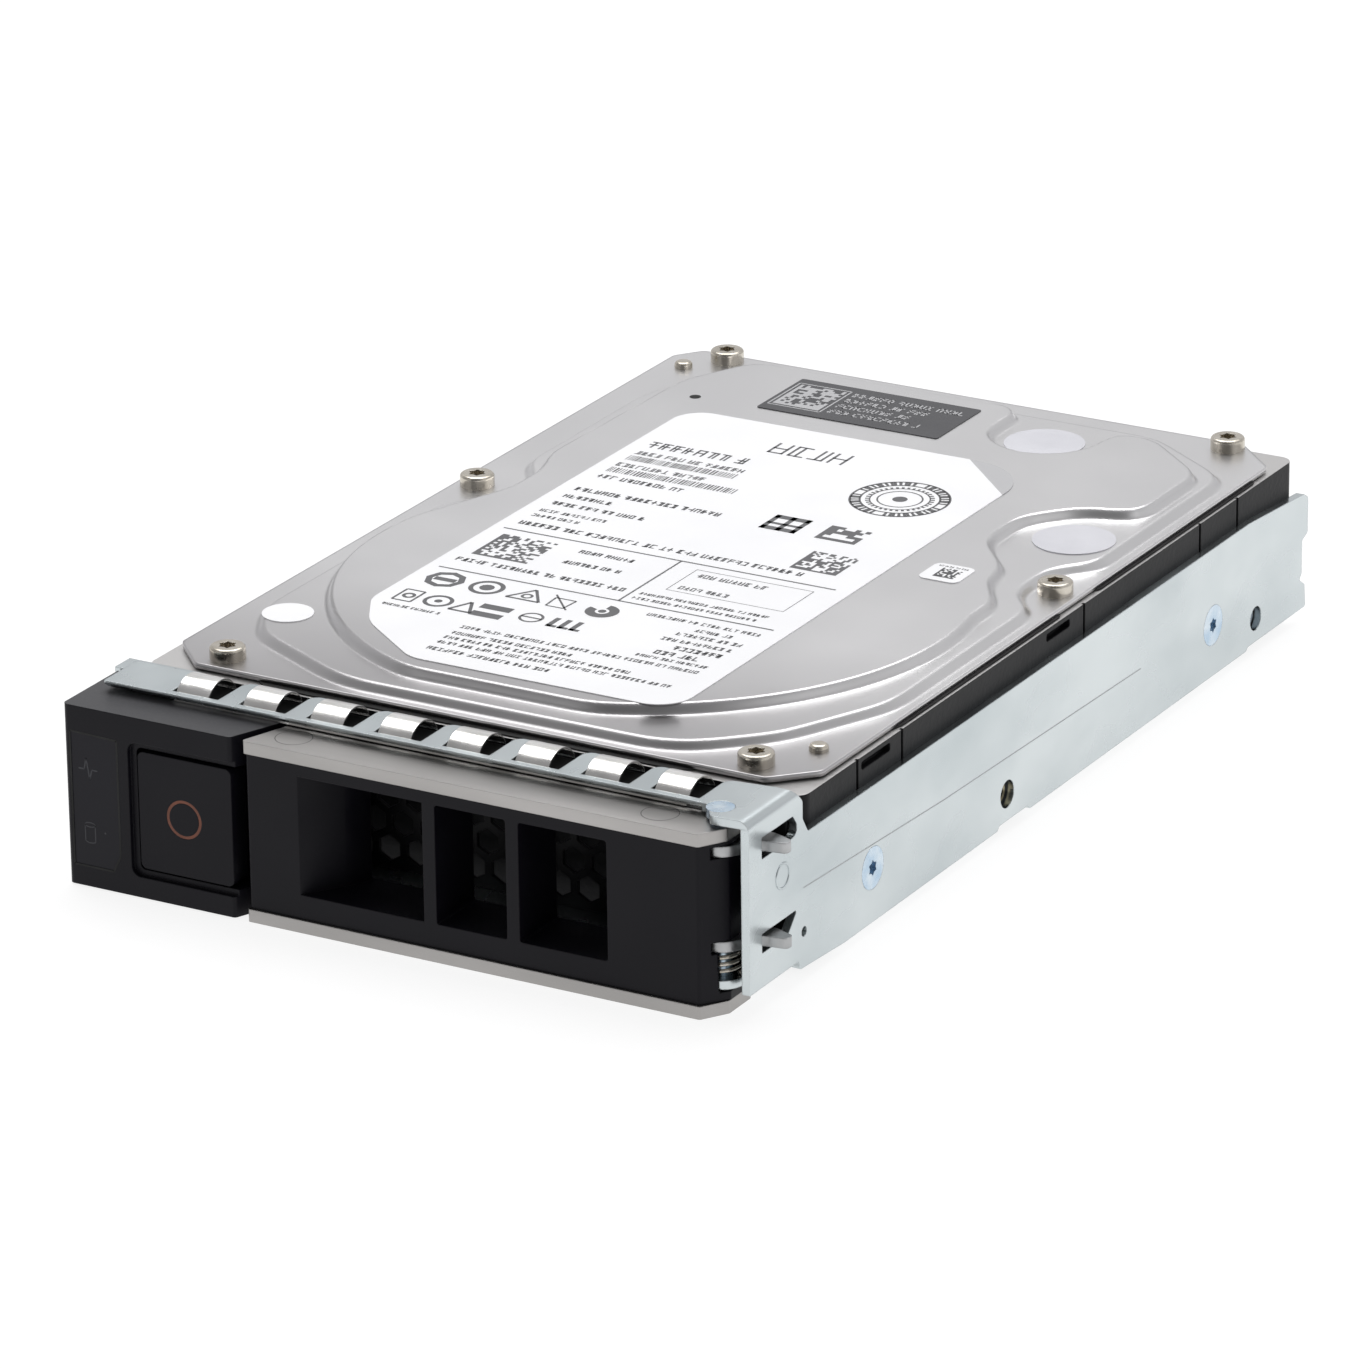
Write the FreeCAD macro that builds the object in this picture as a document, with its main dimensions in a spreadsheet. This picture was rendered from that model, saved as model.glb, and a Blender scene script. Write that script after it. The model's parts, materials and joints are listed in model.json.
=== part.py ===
import FreeCAD, Part
import math
import os
from FreeCAD import Placement, Rotation, Vector

# 3.5-inch hard disk drive screwed into a hot-swap carrier.
# Drive frame: X across (0 at mid-width), Y from the drive's front wall to its connector end,
# Z up from its underside.

SIZES = (
    # alias, millimetres (or a count, or degrees)
    ("drive_width", 101.6),
    ("drive_length", 147.0),
    ("casting_height", 22.2),
    ("casting_floor", 5.6),
    ("board_recess", 3.4),
    ("ledge_width", 6.0),
    ("corner_radius", 2.0),
    ("gasket_gap", 0.2),
    ("gasket_groove", 0.5),
    ("gasket_width", 1.2),
    ("cover_sheet", 0.8),
    ("cover_inset", 0.9),
    ("cover_step", 1.3),
    ("cover_top_step", 1.48),
    ("label_sheet", 0.12),
    ("screw_inset_x", 9.8),
    ("screw_inset_front", 5.3),
    ("screw_inset_rear", 2.9),
    ("mid_screw_inset", 4.3),
    ("mid_screw_back", 67.0),
    ("cover_screw_head", 2.5),
    ("cover_screw_head_height", 1.9),
    ("cover_screw_shank", 1.2),
    ("cover_screw_reach", 7.0),
    ("relief_depth", 1.0),
    ("locating_pin", 1.35),
    ("connector_middle", 20.7),
    ("mount_hole", 1.4),
    ("mount_hole_depth", 3.9),
    ("bottom_hole_inset", 3.18),
    ("bottom_hole_back", 41.28),
    ("bottom_hole_spacing", 76.2),
    ("side_hole_height", 6.35),
    ("side_hole_back", 28.5),
    ("side_hole_spacing", 101.6),
    ("side_head", 3.0),
    ("disc_diameter", 95.0),
    ("disc_bore", 25.0),
    ("disc_sheet", 1.0),
    ("disc_gap", 2.1),
    ("disc_count", 5),
    ("disc_rim_gap", 1.1),
    ("disc_front_wall", 1.9),
    ("first_disc", 8.4),
    ("shaft_radius", 2.5),
    ("running_gap", 0.05),
    ("hub_flange", 2.5),
    ("clamp_sheet", 1.2),
    ("pivot_across", 17.0),
    ("pivot_back", 41.0),
    ("pivot_shaft", 1.9),
    ("bearing_radius", 5.5),
    ("arm_length", 51.0),
    ("arm_sheet", 0.9),
    ("arm_park_angle", 198.1),
    ("arm_travel", 35.0),
    ("coil_sheet", 3.2),
    ("coil_inner", 14.0),
    ("coil_outer", 27.0),
    ("coil_half_angle", 17.0),
    ("magnet_sheet", 2.5),
    ("magnet_gap", 1.4),
    ("yoke_sheet", 2.5),
    ("rail_sheet", 1.2),
    ("rail_height", 18.0),
    ("rail_overhang", 2.4),
    ("rail_foot", 1.4),
    ("bend_radius", 1.6),
    ("rail_lip", 1.5),
    ("post_front", 16.4),
    ("post_back", 2.1),
    ("flange_top", 24.9),
    ("flange_front", 13.3),
    ("flange_lip", 0.35),
    ("flange_bar", 1.1),
    ("flange_back", 5.0),
    ("flange_left_inset", 3.2),
    ("floor_flange", 0.6),
    ("finger_count", 8),
    ("finger_width", 5.05),
    ("finger_pitch", 10.53),
    ("finger_first", 12.45),
    ("finger_gap", 2.0),
    ("finger_sheet", 0.3),
    ("screen_back", 3.4),
    ("screen_sheet", 0.6),
    ("screen_hole", 1.9),
    ("screen_pitch", 4.4),
    ("bezel_front", 19.5),
    ("bezel_top", 23.3),
    ("bezel_bottom", 2.6),
    ("bezel_length", 26.5),
    ("bezel_side_inset", 0.6),
    ("bezel_back", 6.0),
    ("window_width", 7.5),
    ("window_depth", 0.8),
    ("button_width", 14.7),
    ("button_height", 16.8),
    ("button_sheet", 3.6),
    ("button_travel", 2.0),
    ("button_gap", 0.4),
    ("latch_slot", 6.0),
    ("latch_slot_depth", 3.4),
    ("button_proud", 0.3),
    ("ring_radius", 2.75),
    ("ring_line", 0.42),
    ("handle_gap", 1.3),
    ("handle_end_gap", 2.2),
    ("handle_top", 23.2),
    ("handle_bottom", 2.7),
    ("handle_plate", 1.8),
    ("handle_back", 9.5),
    ("handle_plate_lip", 0.4),
    ("open_bottom", 2.6),
    ("open_top", 19.5),
    ("open_right", 13.3),
    ("open_middle", 10.8),
    ("open_left", 19.2),
    ("handle_rib", 1.9),
    ("scoop_width", 8.6),
    ("pivot_pin", 1.5),
    ("pivot_pin_inset", 4.6),
    ("pivot_pin_front", 13.4),
    ("hook_sheet", 1.45),
    ("hook_upper", 19.2),
    ("hook_lower", 5.9),
    ("hook_reach", 2.8),
    ("rivet_radius", 2.5),
    ("rivet_shank", 0.8),
)

doc = FreeCAD.newDocument("drive_in_carrier")
sheet = doc.addObject("Spreadsheet::Sheet", "sizes")
for row, (alias, value) in enumerate(SIZES, start=1):
    sheet.set("A%d" % row, alias)
    sheet.set("B%d" % row, str(value))
    sheet.setAlias("B%d" % row, alias)
doc.recompute()


class Sizes:
    """Reads a driving dimension from the sheet by its alias."""

    def __getattr__(self, alias):
        return float(sheet.get(alias))


s = Sizes()
CLEAR = 0.3  # between pieces that pass each other
SLIP = 0.02  # between pieces that seat in each other

# Places that several pieces share
side = s.drive_width / 2
back = s.drive_length
rail_out = side + s.rail_sheet
cover_low = s.casting_height + s.gasket_gap
flange_face = cover_low + s.cover_sheet
terrace_face = flange_face + s.cover_step
plateau_face = terrace_face + s.cover_top_step
disc_radius = s.disc_diameter / 2
disc_well = disc_radius + s.disc_rim_gap
spindle = Vector(0, s.disc_front_wall + disc_well, 0)
disc_pitch = s.disc_sheet + s.disc_gap
pack_top = s.first_disc + s.disc_count * disc_pitch - s.disc_gap
arm_pivot = Vector(s.pivot_across, back - s.pivot_back, 0)
arm_levels = [s.first_disc - s.disc_gap / 2 + level * disc_pitch for level in range(int(s.disc_count) + 1)]
coil_middle = (arm_levels[0] + arm_levels[-1]) / 2 - 1.5
flange_low = s.flange_top - s.rail_sheet
bezel_left = -rail_out + s.bezel_side_inset
bezel_right = bezel_left + s.bezel_length
handle_left = bezel_right + s.handle_gap
handle_right = side - s.handle_end_gap
hinge = Vector(side - s.pivot_pin_inset, -s.pivot_pin_front, 0)
hook_tip = rail_out + s.hook_reach
button_right = bezel_right - 0.2
button_left = button_right - s.button_width
button_low = 1.65
button_well = s.button_sheet + s.button_travel + 0.9
cover_screw_places = [
    Vector(x, y, 0)
    for x, y in (
        (side - s.screw_inset_x, s.screw_inset_front),
        (s.screw_inset_x - side, s.screw_inset_front),
        (side - s.mid_screw_inset, back - s.mid_screw_back),
        (s.mid_screw_inset - side, back - s.mid_screw_back),
        (side - s.screw_inset_x + 0.5, back - s.screw_inset_rear),
        (s.screw_inset_x - side - 0.5, back - s.screw_inset_rear),
    )
]
side_hole_rows = [back - s.side_hole_back, back - s.side_hole_back - s.side_hole_spacing]
bottom_hole_rows = [back - s.bottom_hole_back, back - s.bottom_hole_back - s.bottom_hole_spacing]

# The stored frame stands on the lowest point, at the middle of the bounding box.
to_row_frame = Vector(
    (rail_out - hook_tip) / 2,
    (s.bezel_front - back - s.rail_overhang) / 2,
    s.handle_bottom,
)

nodes = []


def keep(obj, label):
    """Names a finished sub-part and moves it to the stored frame."""
    obj.Label = label
    obj.Placement = Placement(to_row_frame + obj.Placement.Base, obj.Placement.Rotation)
    nodes.append(obj)
    return obj


# ---------------------------------------------------------------- outlines


def rounded(*corners):
    """Edges of a closed outline through (x, y) or (x, y, radius) corners."""
    count = len(corners)
    points = [Vector(corner[0], corner[1], 0) for corner in corners]
    stops = []
    for index, corner in enumerate(corners):
        here, before, after = points[index], points[index - 1], points[(index + 1) % count]
        radius = corner[2] if len(corner) > 2 else 0
        if not radius:
            stops.append((here, None, here))
            continue
        to_before = (before - here).normalize()
        to_after = (after - here).normalize()
        half = to_before.getAngle(to_after) / 2
        reach = radius / math.tan(half)
        middle = here + (to_before + to_after).normalize() * (radius / math.sin(half))
        bulge = middle + (here - middle).normalize() * radius
        stops.append((here + to_before * reach, bulge, here + to_after * reach))
    edges = []
    for index, (start, bulge, end) in enumerate(stops):
        if bulge is not None:
            edges.append(Part.Arc(start, bulge, end))
        following = stops[(index + 1) % count][0]
        if following.distanceToPoint(end) > 1e-6:
            edges.append(Part.LineSegment(end, following))
    return edges


def oblong(left, low, right, high, radius=0):
    return rounded((left, low, radius), (right, low, radius), (right, high, radius), (left, high, radius))


def circle(x, y, radius):
    return [Part.Circle(Vector(x, y, 0), Vector(0, 0, 1), radius)]


def fan(centre, inner, outer, first, last):
    """A ring sector about a point, between two angles in degrees."""
    far = [polar(centre, outer, angle) for angle in (first, (first + last) / 2, last)]
    near = [polar(centre, inner, angle) for angle in (last, (first + last) / 2, first)]
    return [
        Part.Arc(*far),
        Part.LineSegment(far[-1], near[0]),
        Part.Arc(*near),
        Part.LineSegment(near[-1], far[0]),
    ]


def polar(centre, radius, angle):
    turn = math.radians(angle)
    return Vector(centre.x + radius * math.cos(turn), centre.y + radius * math.sin(turn), 0)


# ---------------------------------------------------------------- builders


def bind(obj, prop, value):
    """Binds a property to the sheet when value is an expression, or sets it."""
    if isinstance(value, str):
        obj.setExpression(prop, value)
    else:
        setattr(obj, prop, value)


def body(label, *steps):
    """A PartDesign body of pads and pockets: (kind, plane, outlines, start, length).

    XY pads grow up and pockets cut down; YZ pads grow to +X and pockets cut to -X;
    XZ pads grow to the front (-Y) and pockets cut to the back.
    """
    part = doc.addObject("PartDesign::Body", label)
    for number, (kind, plane, outlines, start, length) in enumerate(steps):
        sketch = part.newObject("Sketcher::SketchObject", "%s_sketch_%d" % (label, number))
        face = next(item for item in part.Origin.OriginFeatures if item.Role == plane + "_Plane")
        sketch.AttachmentSupport = [(face, "")]
        sketch.MapMode = "FlatFace"
        sketch.AttachmentOffset = Placement(Vector(0, 0, -start if plane == "XZ" else start), Rotation())
        for outline in outlines:
            for edge in outline:
                sketch.addGeometry(edge, False)
        feature = part.newObject("PartDesign::" + kind, "%s_%s_%d" % (label, kind.lower(), number))
        feature.Profile = sketch
        bind(feature, "Length", length)
        sketch.Visibility = False
        doc.recompute()
    return keep(part, label)


def pad(outlines, start, length, plane="XY"):
    return ("Pad", plane, outlines, start, length)


def pocket(outlines, start, length, plane="XY"):
    return ("Pocket", plane, outlines, start, length)


def primitive(kind, place, rotation=None, **sizes):
    obj = doc.addObject("Part::" + kind, kind.lower())
    for prop, value in sizes.items():
        bind(obj, prop, value)
    obj.Placement = Placement(place, rotation or Rotation())
    return obj


def cylinder(place, radius, height, rotation=None):
    return primitive("Cylinder", place, rotation, Radius=radius, Height=height)


def cut(base, tool):
    obj = doc.addObject("Part::Cut", "cut")
    obj.Base = base
    obj.Tool = tool
    return obj


def fuse(*pieces):
    obj = doc.addObject("Part::MultiFuse", "fuse")
    obj.Shapes = list(pieces)
    return obj


def feature(label, shape):
    """A shape made in code from the sheet's sizes."""
    obj = doc.addObject("Part::Feature", label)
    obj.Shape = shape
    return keep(obj, label)


def prism(edges, low, height):
    """A solid from an outline, for shapes that are then joined in code."""
    wire = Part.Wire(Part.__sortEdges__([edge.toShape() for edge in edges]))
    face = Part.Face(wire)
    face.translate(Vector(0, 0, low))
    return face.extrude(Vector(0, 0, height))


ALONG_X = Rotation(Vector(0, 1, 0), 90)
ALONG_Y = Rotation(Vector(1, 0, 0), -90)


# ---------------------------------------------------------------- drive: casting and cover


def base_casting():
    well = circle(spindle.x, spindle.y, disc_well)
    bay = rounded(
        (-side + 7.3, back - 63, 3),
        (side - 2.8, back - 60, 3),
        (side - 2.8, back - 14, 5),
        (side - 13, back - 6.2, 4),
        (-side + 55, back - 6.2, 6),
        (-side + 20, back - 17, 8),
        (-side + 7.3, back - 36, 8),
    )
    steps = [
        pad([oblong(-side, 0, side, back, s.corner_radius)], 0, "sizes.casting_height"),
        pocket([well], s.casting_height, "sizes.casting_height - sizes.casting_floor"),
        pocket([bay], s.casting_height, "sizes.casting_height - sizes.casting_floor"),
        pocket([gasket_path(s.gasket_width / 2 + SLIP), gasket_path(-s.gasket_width / 2 - SLIP)],
               s.casting_height, "sizes.gasket_groove"),
        pocket([circle(spot.x, spot.y, s.cover_screw_shank + SLIP) for spot in cover_screw_places],
               s.casting_height, s.cover_screw_reach + 1),
        pocket([circle(spot.x, spot.y, s.locating_pin + SLIP) for spot in pin_places()], s.casting_height, 4),
        # board recess and connector notch in the underside
        pocket([oblong(-side + s.ledge_width, back - 85, side - s.ledge_width, back + 1)],
               s.board_recess, "sizes.board_recess"),
        pocket([oblong(s.connector_middle - 22, back - 5.5, s.connector_middle + 22, back + 1)], 6.6, 6.6),
        pocket([circle(spindle.x, spindle.y, 14)], 0.8, 0.8),
        pocket([circle(x, y, 1.15 + SLIP) for x, y in board_screw_places()], s.board_recess + 1.5, 1.5),
        pocket([circle(edge, row, s.mount_hole) for edge in (side - s.bottom_hole_inset, s.bottom_hole_inset - side)
                for row in bottom_hole_rows], s.mount_hole_depth, "sizes.mount_hole_depth"),
        pocket([circle(row, s.side_hole_height, s.mount_hole) for row in side_hole_rows],
               side, "sizes.mount_hole_depth", "YZ"),
        pocket([circle(row, s.side_hole_height, s.mount_hole) for row in side_hole_rows],
               -side + s.mount_hole_depth, "sizes.mount_hole_depth", "YZ"),
        # shaft seats in the floor
        pocket([circle(spindle.x, spindle.y, s.shaft_radius + SLIP)], s.casting_floor, 2),
        pocket([circle(arm_pivot.x, arm_pivot.y, s.pivot_shaft + SLIP)], s.casting_floor, 1.5),
        # cast relief slots under the cover's edge
        pocket([oblong(16, s.casting_height - 1.9, 24, s.casting_height - 0.7, 0.4),
                oblong(back - 78, s.casting_height - 1.9, back - 71, s.casting_height - 0.7, 0.4)],
               side, "sizes.relief_depth", "YZ"),
        pocket([oblong(row, s.rail_height - 2, row + 0.6, s.casting_height + 1)
                for row in (14.6, 27, back - 67, back - 31, back - 19)], side, 0.35, "YZ"),
    ]
    body("base_casting", *steps)


def pin_places():
    return [Vector(side - 4.9, 13.4, 0), Vector(4.9 - side, back - 8.4, 0)]


def gasket_path(grow):
    """The closed line that the gasket follows inside the cover screws, grown outwards."""
    inset = 1.05 - grow
    row = back - s.mid_screw_back
    notch = side - s.mid_screw_inset - 5 + grow
    lean = grow * 0.4
    flank = [
        (side - 18 + lean, inset, 4),
        (side - inset, 27 - lean, 8),
        (side - inset, row - 5.5 + lean, 2),
        (notch, row - 2 + lean, 2),
        (notch, row + 2 - lean, 2),
        (side - inset, row + 5.5 - lean, 2),
    ]
    right = flank + [(side - inset, back - 12 + lean, 3), (side - 14 + lean, back - 1.9 + grow, 3)]
    left = flank + [(side - inset, back - 24 + lean, 6), (side - 22 + lean, back - 1.9 + grow, 4)]
    return rounded(*right, *[(-x, y, radius) for x, y, radius in reversed(left)])


def cover_outline(inset):
    """The cover's edge: nearly the drive's rectangle with clipped corners."""
    edge = side - s.cover_inset - inset
    front = 1.6 + inset
    rear = back - 0.4 - inset
    return rounded(
        (-edge, front + 6, 1.5),
        (-edge + 6, front, 1.5),
        (edge - 5.5, front, 1.5),
        (edge, front + 5.6, 1.5),
        (edge, rear - 6.8, 1.5),
        (edge - 7, rear, 1.5),
        (-edge + 3, rear, 1.5),
        (-edge, rear - 4, 1.5),
    )


def terrace_outline(inset):
    """First raised step of the cover, notched round the middle screws."""
    right = side - 2.6 - inset
    left = -side + 4.8 + inset
    low = 3.2 + inset
    rear = back - 6.2 - inset
    notch = back - s.mid_screw_back
    return rounded(
        (left, 22 - inset * 0.4, 4),
        (left + 4.6, 13 + inset * 0.4, 8),
        (-22 + inset * 0.4, low, 20),
        (30 - inset * 0.4, low, 14),
        (40.5 - inset * 0.7, 13.4 + inset * 0.7, 14),
        (right, 30, 14),
        (right, notch - 10 - inset, 3),
        (right - 4.8, notch - 5 - inset, 4),
        (right - 4.8, notch + 5 + inset, 4),
        (right, notch + 10 + inset, 3),
        (right, back - 17, 6),
        (right - 16, rear, 5),
        (-34 + inset * 0.4, rear, 6),
        (left + 2, back - 23, 12),
        (left + 2, notch + 9 + inset, 3),
        (left + 6.2, notch + 4 + inset, 4),
        (left + 6.2, notch - 5 - inset, 4),
        (left, notch - 11 - inset, 6),
    )


def plateau_outline(inset):
    """Highest step: round over the discs, lobed round the two seal stickers behind."""
    rim = disc_well - 3.2 - inset
    joint_right = polar(spindle, rim, 14)
    joint_left = polar(spindle, rim, 168)
    front = 7.4 + inset
    turn = math.degrees(math.asin((spindle.y - front) / rim))
    front_left = polar(spindle, rim, 180 + turn)
    front_right = polar(spindle, rim, -turn)
    rear = back - 7.4 - inset
    tail = rounded(
        (joint_right.x, joint_right.y),
        (44.6 - inset, notch_line(-13.5), 3),
        (39.3 - inset, notch_line(-5), 3),
        (39.3 - inset, notch_line(-0.5), 3),
        (32.1 - inset, back - 59, 4),
        (32.1 - inset, back - 49, 4),
        (38 - inset, back - 42 + inset, 3),
        (46.2 - inset, back - 40 + inset, 4),
        (46.2 - inset, back - 21, 4),
        (34 - inset * 0.7, back - 10.5 - inset, 3),
        (27 + inset * 0.4, back - 10.5 - inset, 3),
        (26.5 - inset * 0.4, back - 20, 6),
        (19.5, back - 26.5 - inset, 7),
        (11.2 - inset, back - 20, 5),
        (11.2 - inset, rear, 3),
        (-34 + inset, rear, 4),
        (-40 + inset, back - 20, 8),
        (-41 + inset, notch_line(10), 4),
        (-38.6 + inset, notch_line(4), 4),
        (-38.6 + inset, notch_line(-5), 4),
        (joint_left.x, joint_left.y),
    )
    rim_left = Part.Arc(joint_left, polar(spindle, rim, 200), front_left)
    rim_right = Part.Arc(front_right, polar(spindle, rim, -20), joint_right)
    return [rim_left, Part.LineSegment(front_left, front_right), rim_right] + tail[:-1]


def notch_line(offset):
    return back - s.mid_screw_back + offset


def top_cover():
    wall = s.cover_sheet
    solid = prism(cover_outline(0), cover_low, s.cover_sheet)
    solid = solid.fuse(prism(terrace_outline(0), flange_face - 0.1, s.cover_step + 0.1))
    solid = solid.fuse(prism(plateau_outline(0), terrace_face - 0.1, s.cover_top_step + 0.1))
    hollow = prism(terrace_outline(wall), cover_low - 1, s.cover_step + 1)
    hollow = hollow.fuse(prism(plateau_outline(wall), terrace_face - wall - 0.1, s.cover_top_step + 0.1))
    solid = solid.cut(hollow)
    for spot in cover_screw_places:
        solid = solid.cut(Part.makeCylinder(s.cover_screw_shank + SLIP, 3, spot + Vector(0, 0, cover_low - 1)))
    for spot in pin_places():
        solid = solid.cut(Part.makeCylinder(s.locating_pin + SLIP, 3, spot + Vector(0, 0, cover_low - 1)))
    breather = Part.makeCylinder(0.75, 3, breather_place() + Vector(0, 0, plateau_face - 2))
    feature("top_cover", solid.cut(breather).removeSplitter())


def breather_place():
    return Vector(-33.8, back - 26.1, 0)


def cover_gasket():
    outlines = [gasket_path(s.gasket_width / 2), gasket_path(-s.gasket_width / 2)]
    body("cover_gasket",
         pad(outlines, s.casting_height - s.gasket_groove, "sizes.gasket_groove + sizes.gasket_gap"))


def cover_screws():
    screws = []
    for spot in cover_screw_places:
        head = Part.makeCylinder(s.cover_screw_head, s.cover_screw_head_height, spot + Vector(0, 0, flange_face))
        head = head.makeFillet(0.5, [edge for edge in head.Edges
                                     if abs(edge.BoundBox.ZMin - head.BoundBox.ZMax) < 1e-6])
        recess = star(0.95, 1.35, spot, flange_face + s.cover_screw_head_height - 1.1, 2)
        shank = Part.makeCylinder(s.cover_screw_shank, s.cover_screw_reach + 1,
                                  spot + Vector(0, 0, flange_face - s.cover_screw_reach - 1))
        screws.append(head.cut(recess).fuse(shank))
    feature("cover_screws", Part.makeCompound(screws))


def star(inner, outer, place, low, height):
    """A six-lobe driver recess."""
    points = []
    for step in range(12):
        spoke = polar(Vector(0, 0, 0), outer if step % 2 == 0 else inner, 30 * step)
        points.append(spoke + Vector(place.x, place.y, low))
    return Part.Face(Part.makePolygon(points + points[:1])).extrude(Vector(0, 0, height))


def locating_pins():
    pins = []
    for spot in pin_places():
        pin = Part.makeCylinder(s.locating_pin, 6, spot + Vector(0, 0, s.casting_height - 4))
        crown = [edge for edge in pin.Edges if abs(edge.BoundBox.ZMin - pin.BoundBox.ZMax) < 1e-6]
        pins.append(pin.makeFillet(0.6, crown))
    feature("locating_pins", Part.makeCompound(pins))


def breather_filter():
    keep(cylinder(breather_place() + Vector(0, 0, plateau_face - s.cover_sheet - 1), 3.2, 1), "breather_filter")


# ---------------------------------------------------------------- drive: labels on the cover


def labels():
    main = rounded(
        (-31.8, 27.5, 6),
        (-27.5, 19.8, 12),
        (-15.5, 10.8, 6),
        (25.5, 10.8, 5),
        (25.5, back - 31.6, 10),
        (-31.8, back - 31.6, 4.5),
    )
    body("main_label", pad([main], plateau_face, "sizes.label_sheet"))
    body("service_label", pad([oblong(-23.6, back - 26, 6.2, back - 12, 0.4)], plateau_face, "sizes.label_sheet"))
    body("code_label", pad([oblong(30.2, back - 77.2, 36.4, back - 70.8, 1.2)], plateau_face, "sizes.label_sheet"))
    for label, x, y, radius, face in (
        ("front_seal_sticker", -41.0, 20.6, 3.6, terrace_face),
        ("pivot_seal_sticker", 40.9, back - 50.4, 5.9, terrace_face),
        ("rear_seal_sticker", 18.8, back - 16.6, 5.9, terrace_face),
    ):
        keep(cylinder(Vector(x, y, face), radius, "sizes.label_sheet"), label)


# ---------------------------------------------------------------- drive: spindle and discs


def spindle_parts():
    hub_low = s.casting_floor + 1.2
    skirt = s.disc_bore / 2 - 1.2
    rotor_top = s.first_disc + 5
    shaft_low = s.casting_floor - 2
    keep(cylinder(spindle + Vector(0, 0, shaft_low), "sizes.shaft_radius", pack_top + 1 - shaft_low), "spindle_shaft")
    hub = cylinder(spindle + Vector(0, 0, s.first_disc - 0.1), "sizes.disc_bore / 2 - sizes.running_gap",
                   pack_top - s.first_disc + 0.1)
    flange = cylinder(spindle + Vector(0, 0, hub_low), "sizes.disc_bore / 2 + sizes.hub_flange",
                      s.first_disc - hub_low)
    bore = cylinder(spindle + Vector(0, 0, hub_low - 1), "sizes.shaft_radius + sizes.running_gap", 30)
    well = cylinder(spindle + Vector(0, 0, hub_low - 1), skirt, rotor_top - hub_low + 1)
    threads = [cylinder(polar(spindle, 8, 60 * step) + Vector(0, 0, pack_top - 4), 0.82, 5) for step in range(6)]
    keep(cut(fuse(hub, flange), fuse(bore, well, *threads)), "spindle_hub")
    outer = cylinder(spindle + Vector(0, 0, hub_low + 0.3), skirt - SLIP, rotor_top - hub_low - 1)
    inner = cylinder(spindle + Vector(0, 0, hub_low), skirt - 1.3, 20)
    keep(cut(outer, inner), "rotor_magnet")
    stator(hub_low - 0.9, rotor_top - 0.8, skirt - 1.3 - CLEAR)
    disc_stack()


def stator(low, high, radius):
    core = Part.makeCylinder(s.shaft_radius + 2.6, high - low, spindle + Vector(0, 0, low))
    for step in range(9):
        tooth = Part.makeBox(radius - 1.2, 1.4, 2.2, Vector(0, -0.7, 0))
        shoe = Part.makeCylinder(radius, 2.2)
        shoe = shoe.common(Part.makeBox(radius, 4.4, 2.2, Vector(radius - 1.3, -2.2, 0)))
        winding = Part.makeBox(2.3, 3.0, 4.0, Vector(radius - 4.0, -1.5, -0.9))
        spoke = tooth.fuse([shoe, winding])
        spoke.rotate(Vector(0, 0, 0), Vector(0, 0, 1), 40 * step)
        spoke.translate(spindle + Vector(0, 0, low + 2.2))
        core = core.fuse(spoke)
    bore = Part.makeCylinder(s.shaft_radius + SLIP, 30, spindle + Vector(0, 0, low - 1))
    feature("stator_coils", core.cut(bore).removeSplitter())


def disc_stack():
    for number in range(int(s.disc_count)):
        low = s.first_disc + number * disc_pitch
        plate = cylinder(spindle + Vector(0, 0, low), "sizes.disc_diameter / 2", "sizes.disc_sheet")
        bore = cylinder(spindle + Vector(0, 0, low - 1), "sizes.disc_bore / 2", 4)
        keep(cut(plate, bore), "disc_%d" % (number + 1))
    rings = []
    for number in range(int(s.disc_count) - 1):
        low = s.first_disc + s.disc_sheet + number * disc_pitch
        ring = Part.makeCylinder(s.disc_bore / 2 + 3, s.disc_gap, spindle + Vector(0, 0, low))
        rings.append(ring.cut(Part.makeCylinder(s.disc_bore / 2, s.disc_gap, spindle + Vector(0, 0, low))))
    feature("disc_spacers", Part.makeCompound(rings))
    clamp = cylinder(spindle + Vector(0, 0, pack_top), "sizes.disc_bore / 2 + 3.5", "sizes.clamp_sheet")
    bore = cylinder(spindle + Vector(0, 0, pack_top - 1), "sizes.shaft_radius + sizes.running_gap * 4", 4)
    holes = [cylinder(polar(spindle, 8, 60 * step) + Vector(0, 0, pack_top - 1), 0.82, 4) for step in range(6)]
    keep(cut(clamp, fuse(bore, *holes)), "disc_clamp")
    screws = []
    for step in range(6):
        spot = polar(spindle, 8, 60 * step) + Vector(0, 0, pack_top)
        shank = Part.makeCylinder(0.8, 3.6 + s.clamp_sheet, spot - Vector(0, 0, 3.6))
        head = Part.makeCylinder(1.5, 0.8, spot + Vector(0, 0, s.clamp_sheet))
        recess = star(0.5, 0.75, spot, pack_top + s.clamp_sheet + 0.3, 1)
        screws.append(shank.fuse(head).cut(recess))
    feature("clamp_screws", Part.makeCompound(screws))


# ---------------------------------------------------------------- drive: actuator


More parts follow.
